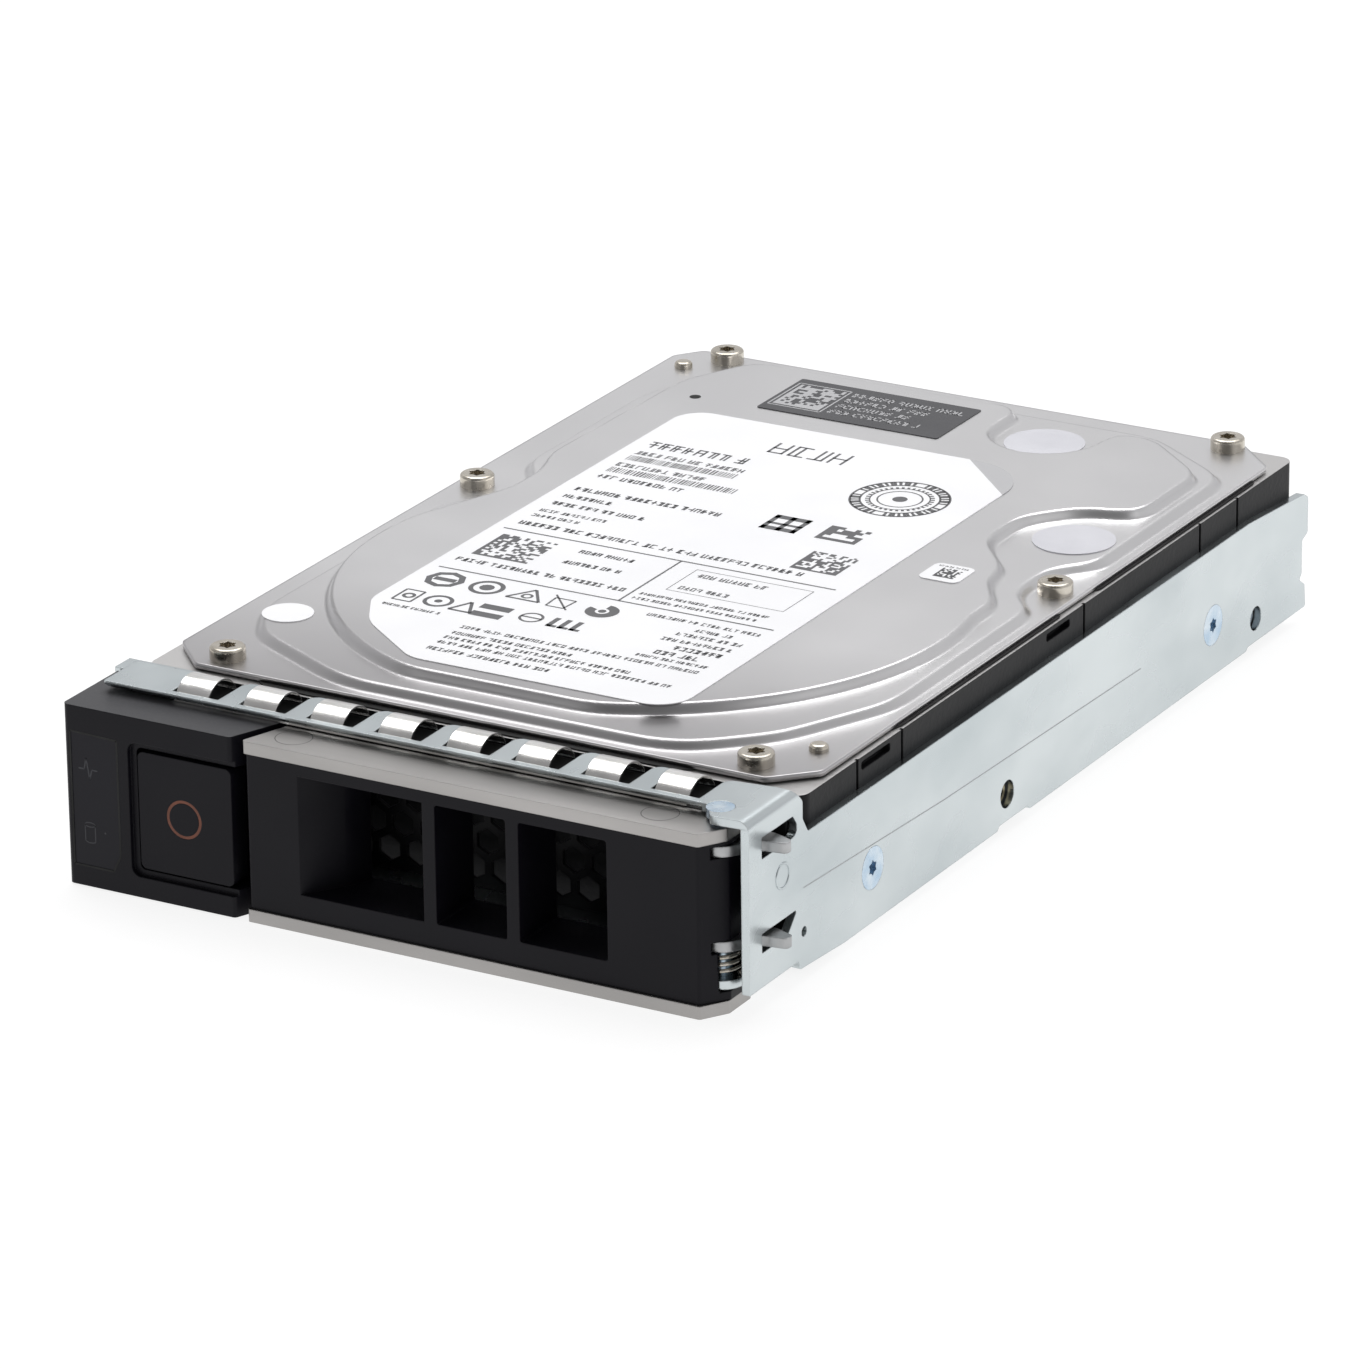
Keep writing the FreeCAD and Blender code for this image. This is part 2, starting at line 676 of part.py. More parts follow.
def actuator_parts():
    hub_low = arm_levels[0] - 1
    hub_high = arm_levels[-1] + 0.8
    hub_radius = s.bearing_radius + 2.4
    park = s.arm_park_angle
    coil_at = park - 180
    reach = s.arm_length - 15
    block = Part.makeCylinder(hub_radius, hub_high - hub_low, arm_pivot + Vector(0, 0, hub_low))
    beams = []
    for level in arm_levels:
        left = polar(arm_pivot, hub_radius - 0.6, park + 62)
        right = polar(arm_pivot, hub_radius - 0.6, park - 62)
        tip_left = polar(arm_pivot, reach + 3, park + 2.2)
        tip_right = polar(arm_pivot, reach + 3, park - 2.2)
        arm = prism(rounded((left.x, left.y), (right.x, right.y), (tip_right.x, tip_right.y),
                            (tip_left.x, tip_left.y)), level - s.arm_sheet / 2, s.arm_sheet)
        hole = polar(arm_pivot, reach * 0.55, park)
        arm = arm.cut(Part.makeCylinder(3, 3, hole + Vector(0, 0, level - 1)))
        block = block.fuse(arm)
        beams.append(head_beam(level, park, reach))
    for turn in (-1, 1):
        yoke = prism(fan(arm_pivot, hub_radius - 1, s.coil_outer + 1.5,
                         coil_at + turn * (s.coil_half_angle + 2.6) - 2,
                         coil_at + turn * (s.coil_half_angle + 2.6) + 2),
                     coil_middle - s.coil_sheet / 2, s.coil_sheet)
        block = block.fuse(yoke)
    bore = Part.makeCylinder(s.bearing_radius + SLIP, 40, arm_pivot + Vector(0, 0, hub_low - 1))
    feature("actuator_block", block.cut(bore).removeSplitter())
    feature("head_suspensions", Part.makeCompound(beams))
    outer = fan(arm_pivot, s.coil_inner, s.coil_outer, coil_at - s.coil_half_angle, coil_at + s.coil_half_angle)
    inner = fan(arm_pivot, s.coil_inner + 3.4, s.coil_outer - 3.4, coil_at - s.coil_half_angle + 9,
                coil_at + s.coil_half_angle - 9)
    body("voice_coil", pad([outer, inner], coil_middle - s.coil_sheet / 2, "sizes.coil_sheet"))
    sleeve = cylinder(arm_pivot + Vector(0, 0, hub_low), "sizes.bearing_radius", hub_high - hub_low)
    bore = cylinder(arm_pivot + Vector(0, 0, hub_low - 1), "sizes.pivot_shaft + sizes.running_gap", 40)
    keep(cut(sleeve, bore), "pivot_bearing")
    keep(cylinder(arm_pivot + Vector(0, 0, s.casting_floor - 1.5), "sizes.pivot_shaft",
                  plateau_face - s.cover_sheet - s.casting_floor + 1.4), "pivot_shaft")


def head_beam(level, park, reach):
    """A suspension with its sliders, from the arm's end to the lift tab."""
    wide_left = polar(arm_pivot, reach + 3, park + 2.2)
    wide_right = polar(arm_pivot, reach + 3, park - 2.2)
    tab_left = polar(arm_pivot, s.arm_length + 2, park + 0.4)
    tab_right = polar(arm_pivot, s.arm_length + 2, park - 0.4)
    beam = prism(rounded((wide_left.x, wide_left.y), (wide_right.x, wide_right.y),
                         (tab_right.x, tab_right.y), (tab_left.x, tab_left.y)), level - 0.1, 0.2)
    for lift in (0.1, -0.4):
        slider = Part.makeBox(1.2, 0.9, 0.3, Vector(s.arm_length - 1.2, -0.45, lift + level))
        slider.rotate(Vector(0, 0, 0), Vector(0, 0, 1), park)
        slider.translate(arm_pivot)
        beam = beam.fuse(slider)
    return beam


def magnet_parts():
    first = s.arm_park_angle - 180 - s.coil_half_angle - 2
    last = first + 2 * (s.coil_half_angle + 2) + s.arm_travel
    lower_face = coil_middle - s.coil_sheet / 2 - s.magnet_gap
    upper_face = coil_middle + s.coil_sheet / 2 + s.magnet_gap
    arc = fan(arm_pivot, s.coil_inner - 1, s.coil_outer + 1.5, first, last)
    body("lower_magnet", pad([arc], lower_face - s.magnet_sheet, "sizes.magnet_sheet"))
    body("upper_magnet", pad([arc], upper_face, "sizes.magnet_sheet"))
    plate = fan(arm_pivot, s.coil_inner - 2, s.coil_outer + 2.4, first - 1, last + 1)
    lower = prism(plate, s.casting_floor, lower_face - s.magnet_sheet - s.casting_floor)
    feature("lower_yoke_plate", lower)
    upper = prism(plate, upper_face + s.magnet_sheet, s.yoke_sheet)
    for angle in (first - 11, last + 9):
        post = polar(arm_pivot, s.coil_outer - 1, angle)
        leg = Part.makeCylinder(1.8, upper_face + s.magnet_sheet + s.yoke_sheet - s.casting_floor,
                                post + Vector(0, 0, s.casting_floor))
        ear_fan = fan(arm_pivot, s.coil_outer - 2.6, s.coil_outer + 0.6, min(angle, last), max(angle, first))
        ear = prism(ear_fan, upper_face + s.magnet_sheet, s.yoke_sheet)
        upper = upper.fuse([leg, ear])
    feature("upper_yoke_plate", upper.removeSplitter())


def load_ramp():
    """A comb whose shelves hold the lift tabs clear of the discs."""
    park = s.arm_park_angle
    low = s.casting_floor
    high = arm_levels[-1] + 0.6
    tab = s.arm_length + 1.6
    middle = polar(arm_pivot, tab, park)
    ramp = prism(fan(arm_pivot, tab + 1.2, tab + 4.2, park - 4, park + 3.2), low, high - low)
    for level in arm_levels:
        shelf_low = level - 0.1 - CLEAR - 0.5
        shelf = prism(fan(arm_pivot, tab - 0.6, tab + 1.4, park - 2.5, park + 1.4), shelf_low, 0.5)
        ramp = ramp.fuse(shelf)
    feature("load_ramp", ramp.removeSplitter())


def drive_trim():
    """Filter, ribbon bracket and ribbon inside the casting."""
    box = primitive("Box", Vector(-side + 9.5, back - 52, s.casting_floor), Length=3.4, Width=10, Height=12)
    keep(box, "recirculation_filter")
    bracket = primitive("Box", Vector(-8, back - 20.5, s.casting_floor), Length=17, Width=9, Height=3.2)
    keep(bracket, "ribbon_bracket")
    start = Vector(-1, back - 21.2, 0)
    points = (start, start + Vector(3, -7, 0), start + Vector(7.4, -9.6, 0))
    ribbon = Part.BSplineCurve()
    ribbon.interpolate(list(points))
    strip = ribbon.toShape().extrude(Vector(0, 0, 5)).makeOffsetShape(0.12, 1e-3, fill=True)
    strip.translate(Vector(0, 0, s.casting_floor + 3.6))
    feature("flex_ribbon", strip if strip.Volume > 0 else strip.reversed())


# ---------------------------------------------------------------- drive: circuit board


def board_screw_places():
    edge = side - s.ledge_width - 0.5
    return [(-edge + 4, back - 80), (edge - 4, back - 80), (-edge + 4, back - 10), (edge - 3, back - 30)]


def board_parts():
    low, sheet_height = 1.1, 1.2
    edge = side - s.ledge_width - 0.5
    spots = board_screw_places()
    notch = s.connector_middle
    outline = rounded(
        (-edge, back - 84.5, 1),
        (edge, back - 84.5, 1),
        (edge, back - 7, 1),
        (notch + 23, back - 7, 1),
        (notch + 23, back - 6.2),
        (notch - 22.5, back - 6.2),
        (notch - 22.5, back - 1, 1),
        (-edge, back - 1, 1),
    )
    holes = [circle(x, y, 1.2) for x, y in spots]
    body("circuit_board", pad([outline] + holes, low, sheet_height))
    chips = []
    for x, y, wide, deep in ((-14, back - 50, 18, 18), (-36, back - 62, 10, 14), (12, back - 64, 10, 10),
                             (-30, back - 30, 8, 6), (20, back - 30, 6, 8), (30, back - 52, 7, 7)):
        chips.append(Part.makeBox(wide, deep, 0.9, Vector(x - wide / 2, y - deep / 2, low + sheet_height)))
    feature("board_chips", Part.makeCompound(chips))
    screws = []
    for x, y in spots:
        head = Part.makeCylinder(2.1, 0.7, Vector(x, y, low - 0.7))
        shank = Part.makeCylinder(1.15, s.board_recess - low + 1.4, Vector(x, y, low))
        screws.append(head.fuse(shank).cut(star(0.7, 1.0, Vector(x, y, 0), low - 1, 0.8)))
    feature("board_screws", Part.makeCompound(screws))


def sata_connector():
    middle = s.connector_middle
    shell = Part.makeBox(42.4, 5.2, 5.6, Vector(middle - 21.2, back - 5.2, 0.7))
    mouth = Part.makeBox(40, 4.2, 4.0, Vector(middle - 20, back - 4.2, 1.5))
    tongue = Part.makeBox(34, 4.3, 1.2, Vector(middle - 18, back - 4.6, 2.4))
    gap = Part.makeBox(1.4, 5, 5, Vector(middle - 5.4, back - 4.2, 1.5))
    key_data = Part.makeBox(1.2, 3.6, 2.2, Vector(middle - 6.6, back - 4.2, 2.4))
    key_power = Part.makeBox(1.2, 3.6, 2.2, Vector(middle + 14.8, back - 4.2, 2.4))
    shell = shell.cut(mouth).fuse([tongue, key_data, key_power]).cut(gap)
    feature("sata_connector", shell.removeSplitter())


# ---------------------------------------------------------------- carrier: sheet metal


def rail_profile(front_edge):
    """Side view of a rail, as (y, z) corners, behind the given front edge."""
    foot = -s.rail_foot
    end = back + s.rail_overhang
    return front_edge + [
        (back - 17, s.rail_height, 3),
        (back + 1, s.rail_height - 1.3, 1),
        (end, s.rail_height - 2.2, 0.5),
        (end, 10.4, 0.4),
        (end - 1.8, 9.7, 0.4),
        (end - 1.8, 4.6, 0.4),
        (end - 2.6, 3.8, 0.4),
        (end - 0.8, 2.6, 0.4),
        (end - 0.4, foot + 0.5, 0.4),
        (back - 17, foot + 0.5),
        (back - 17.6, foot, 0.3),
        (62, foot),
        (61.4, foot + 0.6, 0.2),
        (53, foot + 0.6, 0.2),
        (52.4, foot, 0.3),
        (9, foot),
        (-3.2, foot + 0.7, 0.5),
    ]


def rail_holes():
    """Screw seats and the two locating holes of each rail, as (y, z) circles."""
    return [circle(back - 91.7, 3.1, 2), circle(back - 14.6, 2.7, 1.8)]


def screw_seats(outer, direction):
    """Countersinks for the side screws, cut from a rail's outer face."""
    cones = []
    for row in side_hole_rows:
        cone = Part.makeCone(s.side_head + 0.04, 1.79, s.rail_sheet + 0.02,
                             Vector(outer, row, s.side_hole_height), Vector(direction, 0, 0))
        cones.append(cone)
    return cones


def carrier_frame():
    """Right rail, front post, top flange and floor flange, folded from one sheet."""
    post = [
        (-3.2, s.floor_flange, 0.4),
        (-s.post_front, s.floor_flange),
        (-s.post_front, s.flange_top),
        (-s.post_back - 2, s.flange_top, 1),
        (-s.post_back, s.flange_top - 2.2, 1),
        (-s.post_back, s.rail_height + 2.2, 0.5),
        (-s.post_back + 1.4, s.rail_height, 0.8),
    ]
    wall = prism_yz(rounded(*rail_profile(post)), side, s.rail_sheet)
    upper_low = s.hook_upper - 0.7
    lower_low = s.hook_lower - 0.5
    upper_window = rounded((-13, upper_low, 0.2), (-3.6, upper_low, 1.2), (-3.6, upper_low + 1.6, 1),
                           (-4.7, upper_low + 3, 0.3), (-13, upper_low + 3, 0.2))
    lower_window = rounded((-13.1, lower_low, 0.2), (-6.2, lower_low, 0.3), (-3.6, lower_low + 2.7, 0.3),
                           (-13.1, lower_low + 2.7, 0.2))
    for opening in [upper_window, lower_window] + rail_holes() + [circle(-1.9, 4.3, 0.7)]:
        wall = wall.cut(prism_yz(opening, side - 1, 4))
    top = prism(top_flange_outline(), flange_low, s.rail_sheet)
    floor_back = -s.flange_back + 1
    floor = prism(rounded((-20, -s.flange_front, 1), (38, -s.flange_front, 1), (40.5, -11.4, 1),
                          (side + 0.1, -11.4), (side + 0.1, floor_back), (-20, floor_back, 1)),
                  s.floor_flange, s.rail_sheet)
    eye = Part.makeCylinder(3.2, s.rail_sheet, hinge + Vector(0, 0, s.floor_flange))
    shell = wall.fuse([top.cut(flange_bevel()), floor, eye])
    bend = Vector(rail_out - s.bend_radius, -s.post_front - 1, s.flange_top - s.bend_radius)
    square = Part.makeBox(2 * s.bend_radius, 20, 2 * s.bend_radius, bend)
    shell = shell.cut(square.cut(Part.makeCylinder(s.bend_radius, 20, bend, Vector(0, 1, 0))))
    shell = shell.cut(Part.makeCylinder(1.9 + SLIP, 5, hinge + Vector(0, 0, flange_low - 1)))
    shell = shell.cut(Part.makeCylinder(s.pivot_pin + SLIP, 5, hinge + Vector(0, 0, s.floor_flange - 1)))
    for low, high in ((8.9, 52.2), (62.2, back - 17.8)):
        lip = Part.makeBox(s.rail_lip, high - low, s.rail_sheet, Vector(side - s.rail_lip + 0.1, low, -s.rail_foot))
        shell = shell.fuse(lip)
    for cone in screw_seats(rail_out + 0.01, -1):
        shell = shell.cut(cone)
    feature("carrier_frame", shell.removeSplitter())


def flange_bevel():
    """The wedge cut from under the flange's front edge, which leaves a thin lip."""
    front = -s.flange_front
    rear = front + s.flange_bar
    lip_low = s.flange_top - s.flange_lip
    wedge = rounded((front - 1, flange_low - 1), (rear, flange_low - 1), (rear, flange_low), (front, lip_low),
                    (front - 1, lip_low))
    return prism_yz(wedge, -rail_out, rail_out + side - 7.4)


def prism_yz(edges, start, depth):
    """A solid from an outline drawn in (y, z), grown along +X."""
    solid = prism(edges, 0, depth)
    turn = Rotation(Vector(0, 1, 0), Vector(0, 0, 1), Vector(1, 0, 0), "ZXY")
    solid.Placement = Placement(Vector(start, 0, 0), turn)
    return solid


def finger_left(number):
    return -side + s.finger_first + number * s.finger_pitch


def top_flange_outline():
    """The top flange: straight in front, a comb of tabs between the fingers behind."""
    front = -s.flange_front
    rear = -s.flange_back
    left = -rail_out + s.flange_left_inset
    corners = [
        (left, rear, 0.6),
        (left, front, 0.3),
        (side - 6.6, front, 0.8),
        (side - 4.2, -s.post_front - 0.4, 0.8),
        (rail_out, -s.post_front),
        (rail_out, rear + 0.8),
        (side - 1.6, rear + 0.8, 0.4),
    ]
    for number in reversed(range(int(s.finger_count))):
        start = finger_left(number) - 0.25
        end = finger_left(number) + s.finger_width + s.finger_gap
        root = front + s.flange_bar
        corners += [(end, rear, 1.4), (end, root), (start, root), (start, rear, 0.2)]
    return rounded(*corners)


def left_rail():
    front = [
        (-s.bezel_back + 0.3, -s.rail_foot + 0.7, 0.5),
        (-s.bezel_back + 0.3, flange_low - SLIP),
        (-s.post_back, flange_low - SLIP, 1),
        (-s.post_back, s.rail_height + 2.2, 0.5),
        (-s.post_back + 1.4, s.rail_height, 0.8),
    ]
    wall = prism_yz(rounded(*rail_profile(front)), -rail_out, s.rail_sheet)
    for opening in rail_holes():
        wall = wall.cut(prism_yz(opening, -rail_out - 1, 4))
    tab = Part.makeBox(11.5, 3.6, s.rail_sheet,
                       Vector(-rail_out, -s.bezel_back + 0.3, flange_low - SLIP - s.rail_sheet))
    shell = wall.fuse(tab)
    for low, high in ((8.9, 52.2), (62.2, back - 17.8)):
        shell = shell.fuse(Part.makeBox(s.rail_lip, high - low, s.rail_sheet,
                                        Vector(-side - 0.1, low, -s.rail_foot)))
    for cone in screw_seats(-rail_out - 0.01, 1):
        shell = shell.cut(cone)
    feature("left_rail", shell.removeSplitter())


def side_screws():
    screws = []
    for outer, direction in ((rail_out, -1), (-rail_out, 1)):
        for row in side_hole_rows:
            spot = Vector(outer, row, s.side_hole_height)
            axis = Vector(direction, 0, 0)
            head = Part.makeCone(s.side_head, 1.75, s.rail_sheet, spot, axis)
            shank = Part.makeCylinder(s.mount_hole - SLIP, s.rail_sheet + 3.4, spot, axis)
            recess = star(0.8, 1.15, Vector(0, 0, 0), 0, 1.2)
            recess.Placement = Placement(spot - axis * 0.2, Rotation(Vector(0, 0, 1), axis))
            screws.append(head.fuse(shank).cut(recess))
    feature("side_screws", Part.makeCompound(screws))


def finger_strip():
    """Bowed contact fingers that rise through the flange's comb, on a strip under it."""
    fingers = []
    front, rear = -s.flange_front + s.flange_bar + 0.2, -s.flange_back + 0.4
    low = flange_low - s.finger_sheet - SLIP
    strip_end = finger_left(int(s.finger_count) - 1) + s.finger_width
    strip = Part.makeBox(strip_end - finger_left(0), 1.6, s.finger_sheet, Vector(finger_left(0), front - 0.1, low))
    outer = Part.Arc(Vector(0, front - 0.1, low), Vector(0, (front + rear) / 2 - 1, s.flange_top + 1.05),
                     Vector(0, rear, s.flange_top - 1.2)).toShape()
    inner = Part.Arc(Vector(0, rear, s.flange_top - 1.2 - s.finger_sheet),
                     Vector(0, (front + rear) / 2 - 1, s.flange_top + 1.05 - s.finger_sheet),
                     Vector(0, front + 0.3, low)).toShape()
    joins = [Part.makeLine(outer.Vertexes[1].Point, inner.Vertexes[0].Point),
             Part.makeLine(inner.Vertexes[1].Point, outer.Vertexes[0].Point)]
    bow = Part.Face(Part.Wire([outer, joins[0], inner, joins[1]])).extrude(Vector(s.finger_width, 0, 0))
    for number in range(int(s.finger_count)):
        finger = bow.copy()
        finger.translate(Vector(finger_left(number), 0, 0))
        fingers.append(finger)
    feature("finger_strip", strip.fuse(fingers).removeSplitter())


def emi_screen():
    """Honeycomb-perforated sheet across the carrier's mouth."""
    left, right = -side + 1.5, side - 0.2
    low, high = s.floor_flange + s.rail_sheet, flange_low - s.rail_sheet - 0.2
    plate = prism_xz(oblong(left, low, right, high), -s.screen_back, s.screen_sheet)
    row_step = s.screen_pitch * math.sqrt(3) / 2
    rows = int((high - low - 3) / row_step)
    columns = int((right - left - 6) / s.screen_pitch)
    holes = []
    for row in range(rows):
        for column in range(columns):
            x = left + 4 + column * s.screen_pitch + (row % 2) * s.screen_pitch / 2
            z = low + 3 + row * row_step
            corners = [(x + s.screen_hole * math.sin(math.radians(60 * turn)),
                        z + s.screen_hole * math.cos(math.radians(60 * turn))) for turn in range(6)]
            holes.append(prism_xz(rounded(*corners), -s.screen_back + 1, s.screen_sheet + 2))
    feature("emi_screen", plate.cut(Part.makeCompound(holes)))


def prism_xz(edges, near, depth):
    """A solid from an outline drawn in (x, z), grown to the front from y = near."""
    solid = prism(edges, 0, depth)
    solid.Placement = Placement(Vector(0, near, 0), Rotation(Vector(1, 0, 0), 90))
    return solid


# ---------------------------------------------------------------- carrier: bezel, button and latch


def bezel_parts():
    front = -s.bezel_front
    low, high = -s.bezel_bottom, s.bezel_top
    rear = -s.bezel_back
    outline = rounded((bezel_left, front, 0.8), (bezel_right, front, 0.6), (bezel_right + 0.6, front + 1.4),
                      (bezel_right + 3.4, -11.4), (bezel_right + 3.4, rear), (bezel_left, rear))
    opening = oblong(button_left - s.button_gap, button_low - s.button_gap, bezel_right + 6,
                     button_low + s.button_height + s.button_gap, 0.8)
    frame = oblong(button_left - 1.4, button_low - 1.3, bezel_right + 6, button_low + s.button_height + 1.2, 1.4)
    window_left = bezel_left + 1
    window_right = window_left + s.window_width
    body(
        "bezel_housing",
        pad([outline], low, high - low),
        pocket([frame], front, 0.7, "XZ"),
        pocket([opening], front, button_well, "XZ"),
        pocket([window_outline(window_left, window_right, 0)], front, "sizes.window_depth", "XZ"),
        pocket([oblong(bezel_left + 1.6, 2, bezel_right - 4, 19)], front + 9.4, 5, "XZ"),
        pocket([oblong(latch_left() - 2.6, 6.7, bezel_right + 6, 13.3)],
               front + s.latch_slot, "sizes.latch_slot_depth", "XZ"),
    )
    lens = window_outline(window_left, window_right, SLIP)
    body("indicator_window", pad([lens], front + s.window_depth, s.window_depth - 0.05, "XZ"))


def window_outline(left, right, inset):
    """The indicator window in front view, with its clipped lower corner."""
    return rounded((left + inset, 0.3 + inset), (right - 1.2 - inset, 0.3 + inset), (right - inset, 2.6),
                   (right - inset, 19.4 - inset), (left + inset, 19.6 - inset))


def latch_left():
    return bezel_right - 7.5


def button_parts():
    face = -s.bezel_front + s.button_proud
    back_face = face + s.button_sheet
    low, high = button_low, button_low + s.button_height
    middle_x, middle_z = button_left + 7.1, button_low + 8.25
    body(
        "release_button",
        pad([oblong(button_left, low, button_right, high, 0.9)], back_face, "sizes.button_sheet", "XZ"),
        pocket([circle(middle_x, middle_z, s.ring_radius), circle(middle_x, middle_z, s.ring_radius - s.ring_line)],
               face, 0.2, "XZ"),
    )
    ring = Part.makeCylinder(s.ring_radius - SLIP / 2, 0.2).cut(
        Part.makeCylinder(s.ring_radius - s.ring_line + SLIP / 2, 0.2))
    ring.Placement = Placement(Vector(middle_x, face + 0.2, middle_z), Rotation(Vector(1, 0, 0), 90))
    feature("button_ring", ring)
    wire = 0.25
    spring_room = button_well - s.button_sheet - s.button_proud
    spring = coil((button_left + 3.2, back_face + wire + SLIP, 10), 1.7, wire, 1.0,
                  spring_room - 2 * wire - 2 * SLIP, ALONG_Y)
    feature("button_spring", spring)
    near = -s.bezel_front + s.latch_slot + 0.35
    nose = bezel_right + s.handle_gap - 0.4
    latch = Part.makeBox(nose - latch_left(), s.latch_slot_depth - 0.8, 6, Vector(latch_left(), near, 7))
    feature("latch_slider", latch)


def coil(start, radius, wire, pitch, length, rotation):
    """A round-wire helical spring from start, along +Z turned by rotation."""
    helix = Part.makeHelix(pitch, length, radius)
    profile = Part.Wire(Part.makeCircle(wire, Vector(radius, 0, 0), Vector(0, 1, 0)))
    spring = Part.Wire(helix).makePipeShell([profile], True, True)
    spring.Placement = Placement(Vector(*start), rotation)
    return spring


# ---------------------------------------------------------------- carrier: handle


def handle_outline(grow):
    """Plan view of the handle, with slanted left end and clipped right end."""
    front = -s.bezel_front + s.handle_plate_lip - grow
    rear = -s.handle_back
    return rounded(
        (handle_left + 0.7 - grow * 0.5, front, 0.4),
        (handle_right - 2.6 + grow * 0.6, front, 0.6),
        (handle_right, front + 3.7, 0.5),
        (handle_right, rear, 1),
        (handle_left + 3.6, rear, 0.6),
        (handle_left + 3.2, front + 7.5),
    )


def handle_parts():
    top_plate_low = s.handle_top - s.handle_plate
    low = s.handle_plate - s.handle_bottom
    front = -s.bezel_front + s.handle_plate_lip
    right_stop = handle_right - 16.2
    stops = [right_stop, right_stop - s.open_right, right_stop - s.open_right - s.handle_rib]
    stops += [stops[-1] - s.open_middle, stops[-1] - s.open_middle - s.handle_rib]
    stops.append(stops[-1] - s.open_left)
    scoop = rounded((stops[4], -40), (stops[4], 0), (stops[5] + 5.6, 0), (stops[5] + 5.2, front + 7.4, 8),
                    (stops[5], front + 0.01), (stops[5], -40))
    windows = [oblong(stops[1], s.open_bottom, stops[0], s.open_top, 0.4),
               oblong(stops[3], s.open_bottom, stops[2], s.open_top, 0.4)]
    rivets = rivet_places()
    hook_band = [oblong(hinge.x - 4.4, -17.6, side, 0)]
    body(
        "handle_body",
        pad([handle_outline(0)], low, top_plate_low - low),
        pocket(windows, front - 1, 30, "XZ"),
        pocket([scoop], s.open_top, s.open_top - s.open_bottom),
        pocket([oblong(-60, -s.flange_front - 0.6, side, 0)], s.floor_flange + s.rail_sheet + CLEAR,
               s.rail_sheet + 2 * CLEAR),
        pocket([circle(hinge.x, hinge.y, 3.6)], s.floor_flange + s.rail_sheet + CLEAR, s.rail_sheet + 2 * CLEAR),
        pocket([circle(hinge.x, hinge.y, s.pivot_pin + s.running_gap)], s.handle_top, 40),
        pocket(hook_band, s.hook_upper + s.hook_sheet + 0.1, s.hook_sheet + 0.2),
        pocket(hook_band, s.hook_lower + s.hook_sheet + 0.1, s.hook_sheet + 0.2),
        pocket([circle(hinge.x, hinge.y, 3.7)], s.hook_lower, s.hook_lower - s.floor_flange),
        pocket([oblong(hinge.x, hinge.y - 3, side, hinge.y + 3)], s.hook_lower, s.hook_lower - s.floor_flange),
        pocket([circle(spot.x, spot.y, s.rivet_shank + SLIP) for spot in rivets], s.handle_top, 40),
    )
    plate_outline = handle_outline(s.handle_plate_lip)
    pin_clear = circle(hinge.x, hinge.y, s.pivot_pin + s.running_gap)
    seats = [circle(spot.x, spot.y, s.rivet_radius + SLIP) for spot in rivets]
    body("handle_top_plate", pad([plate_outline, pin_clear] + seats, top_plate_low, "sizes.handle_plate"))
    body("handle_bottom_plate", pad([plate_outline] + seats, -s.handle_bottom, "sizes.handle_plate"))
    bars = []
    for spot in rivets:
        shank = Part.makeCylinder(s.rivet_shank, s.handle_top + s.handle_bottom,
                                  spot - Vector(0, 0, s.handle_bottom))
        for level in (-s.handle_bottom, top_plate_low):
            shank = shank.fuse(Part.makeCylinder(s.rivet_radius, s.handle_plate, spot + Vector(0, 0, level)))
        bars.append(shank)
    feature("handle_rivets", Part.makeCompound(bars))
    for label, level in (("upper_hook", s.hook_upper), ("lower_hook", s.hook_lower)):
        hook(label, level)
    pin_length = s.flange_top - s.floor_flange - 0.1
    pin = fuse(cylinder(hinge + Vector(0, 0, s.floor_flange), "sizes.pivot_pin", pin_length),
               cylinder(hinge + Vector(0, 0, flange_low), 1.9, "sizes.rail_sheet"))
    keep(pin, "pivot_pin")
    spring_low = s.floor_flange + s.rail_sheet + 0.35
    feature("handle_spring", coil((hinge.x, hinge.y, spring_low), 2.5, 0.28, 0.95, 2.85, Rotation()))


def rivet_places():
    return [Vector(handle_left + 6.2, -15.4, 0), Vector(handle_right - 10.2, -15.4, 0)]


def hook(label, level):
    """Latch hook: an eye on the hinge pin and a prong out through the post's window."""
    prong = rounded(
        (hinge.x - 2, hinge.y - 2.6),
        (hinge.x + 2.4, hinge.y - 2.4, 1),
        (rail_out - 0.6, -11.9, 2),
        (hook_tip, -11.4, 0.7),
        (hook_tip, -10.0, 0.6),
        (rail_out, -8.9, 2),
        (hinge.x + 2.0, -8.4, 1.5),
        (hinge.x - 2.2, hinge.y + 2.4),
    )
    plate = prism(prong, level, s.hook_sheet).fuse(Part.makeCylinder(3.4, s.hook_sheet, hinge + Vector(0, 0, level)))
    bore = Part.makeCylinder(s.pivot_pin + s.running_gap, 5, hinge + Vector(0, 0, level - 1))
    feature(label, plate.cut(bore).removeSplitter())


# ---------------------------------------------------------------- build, check and export

base_casting()
top_cover()
cover_gasket()
cover_screws()
locating_pins()
breather_filter()
labels()
spindle_parts()
actuator_parts()
magnet_parts()
load_ramp()
drive_trim()
board_parts()
sata_connector()
carrier_frame()
left_rail()
side_screws()
finger_strip()
emi_screen()
bezel_parts()
button_parts()
handle_parts()

doc.recompute()
for obj in doc.Objects:
    if "Invalid" in obj.State or "Error" in obj.State:
        raise RuntimeError("%s did not build: %s" % (obj.Label, obj.State))
for obj in doc.Objects:
    if obj.TypeId == "PartDesign::Pocket" and obj.Shape.Volume >= obj.BaseFeature.Shape.Volume - 1e-6:
        raise RuntimeError("%s cuts nothing" % obj.Label)
for node in nodes:
    if node.Shape.isNull() or not node.Shape.isValid():
        raise RuntimeError("%s has no valid shape" % node.Label)

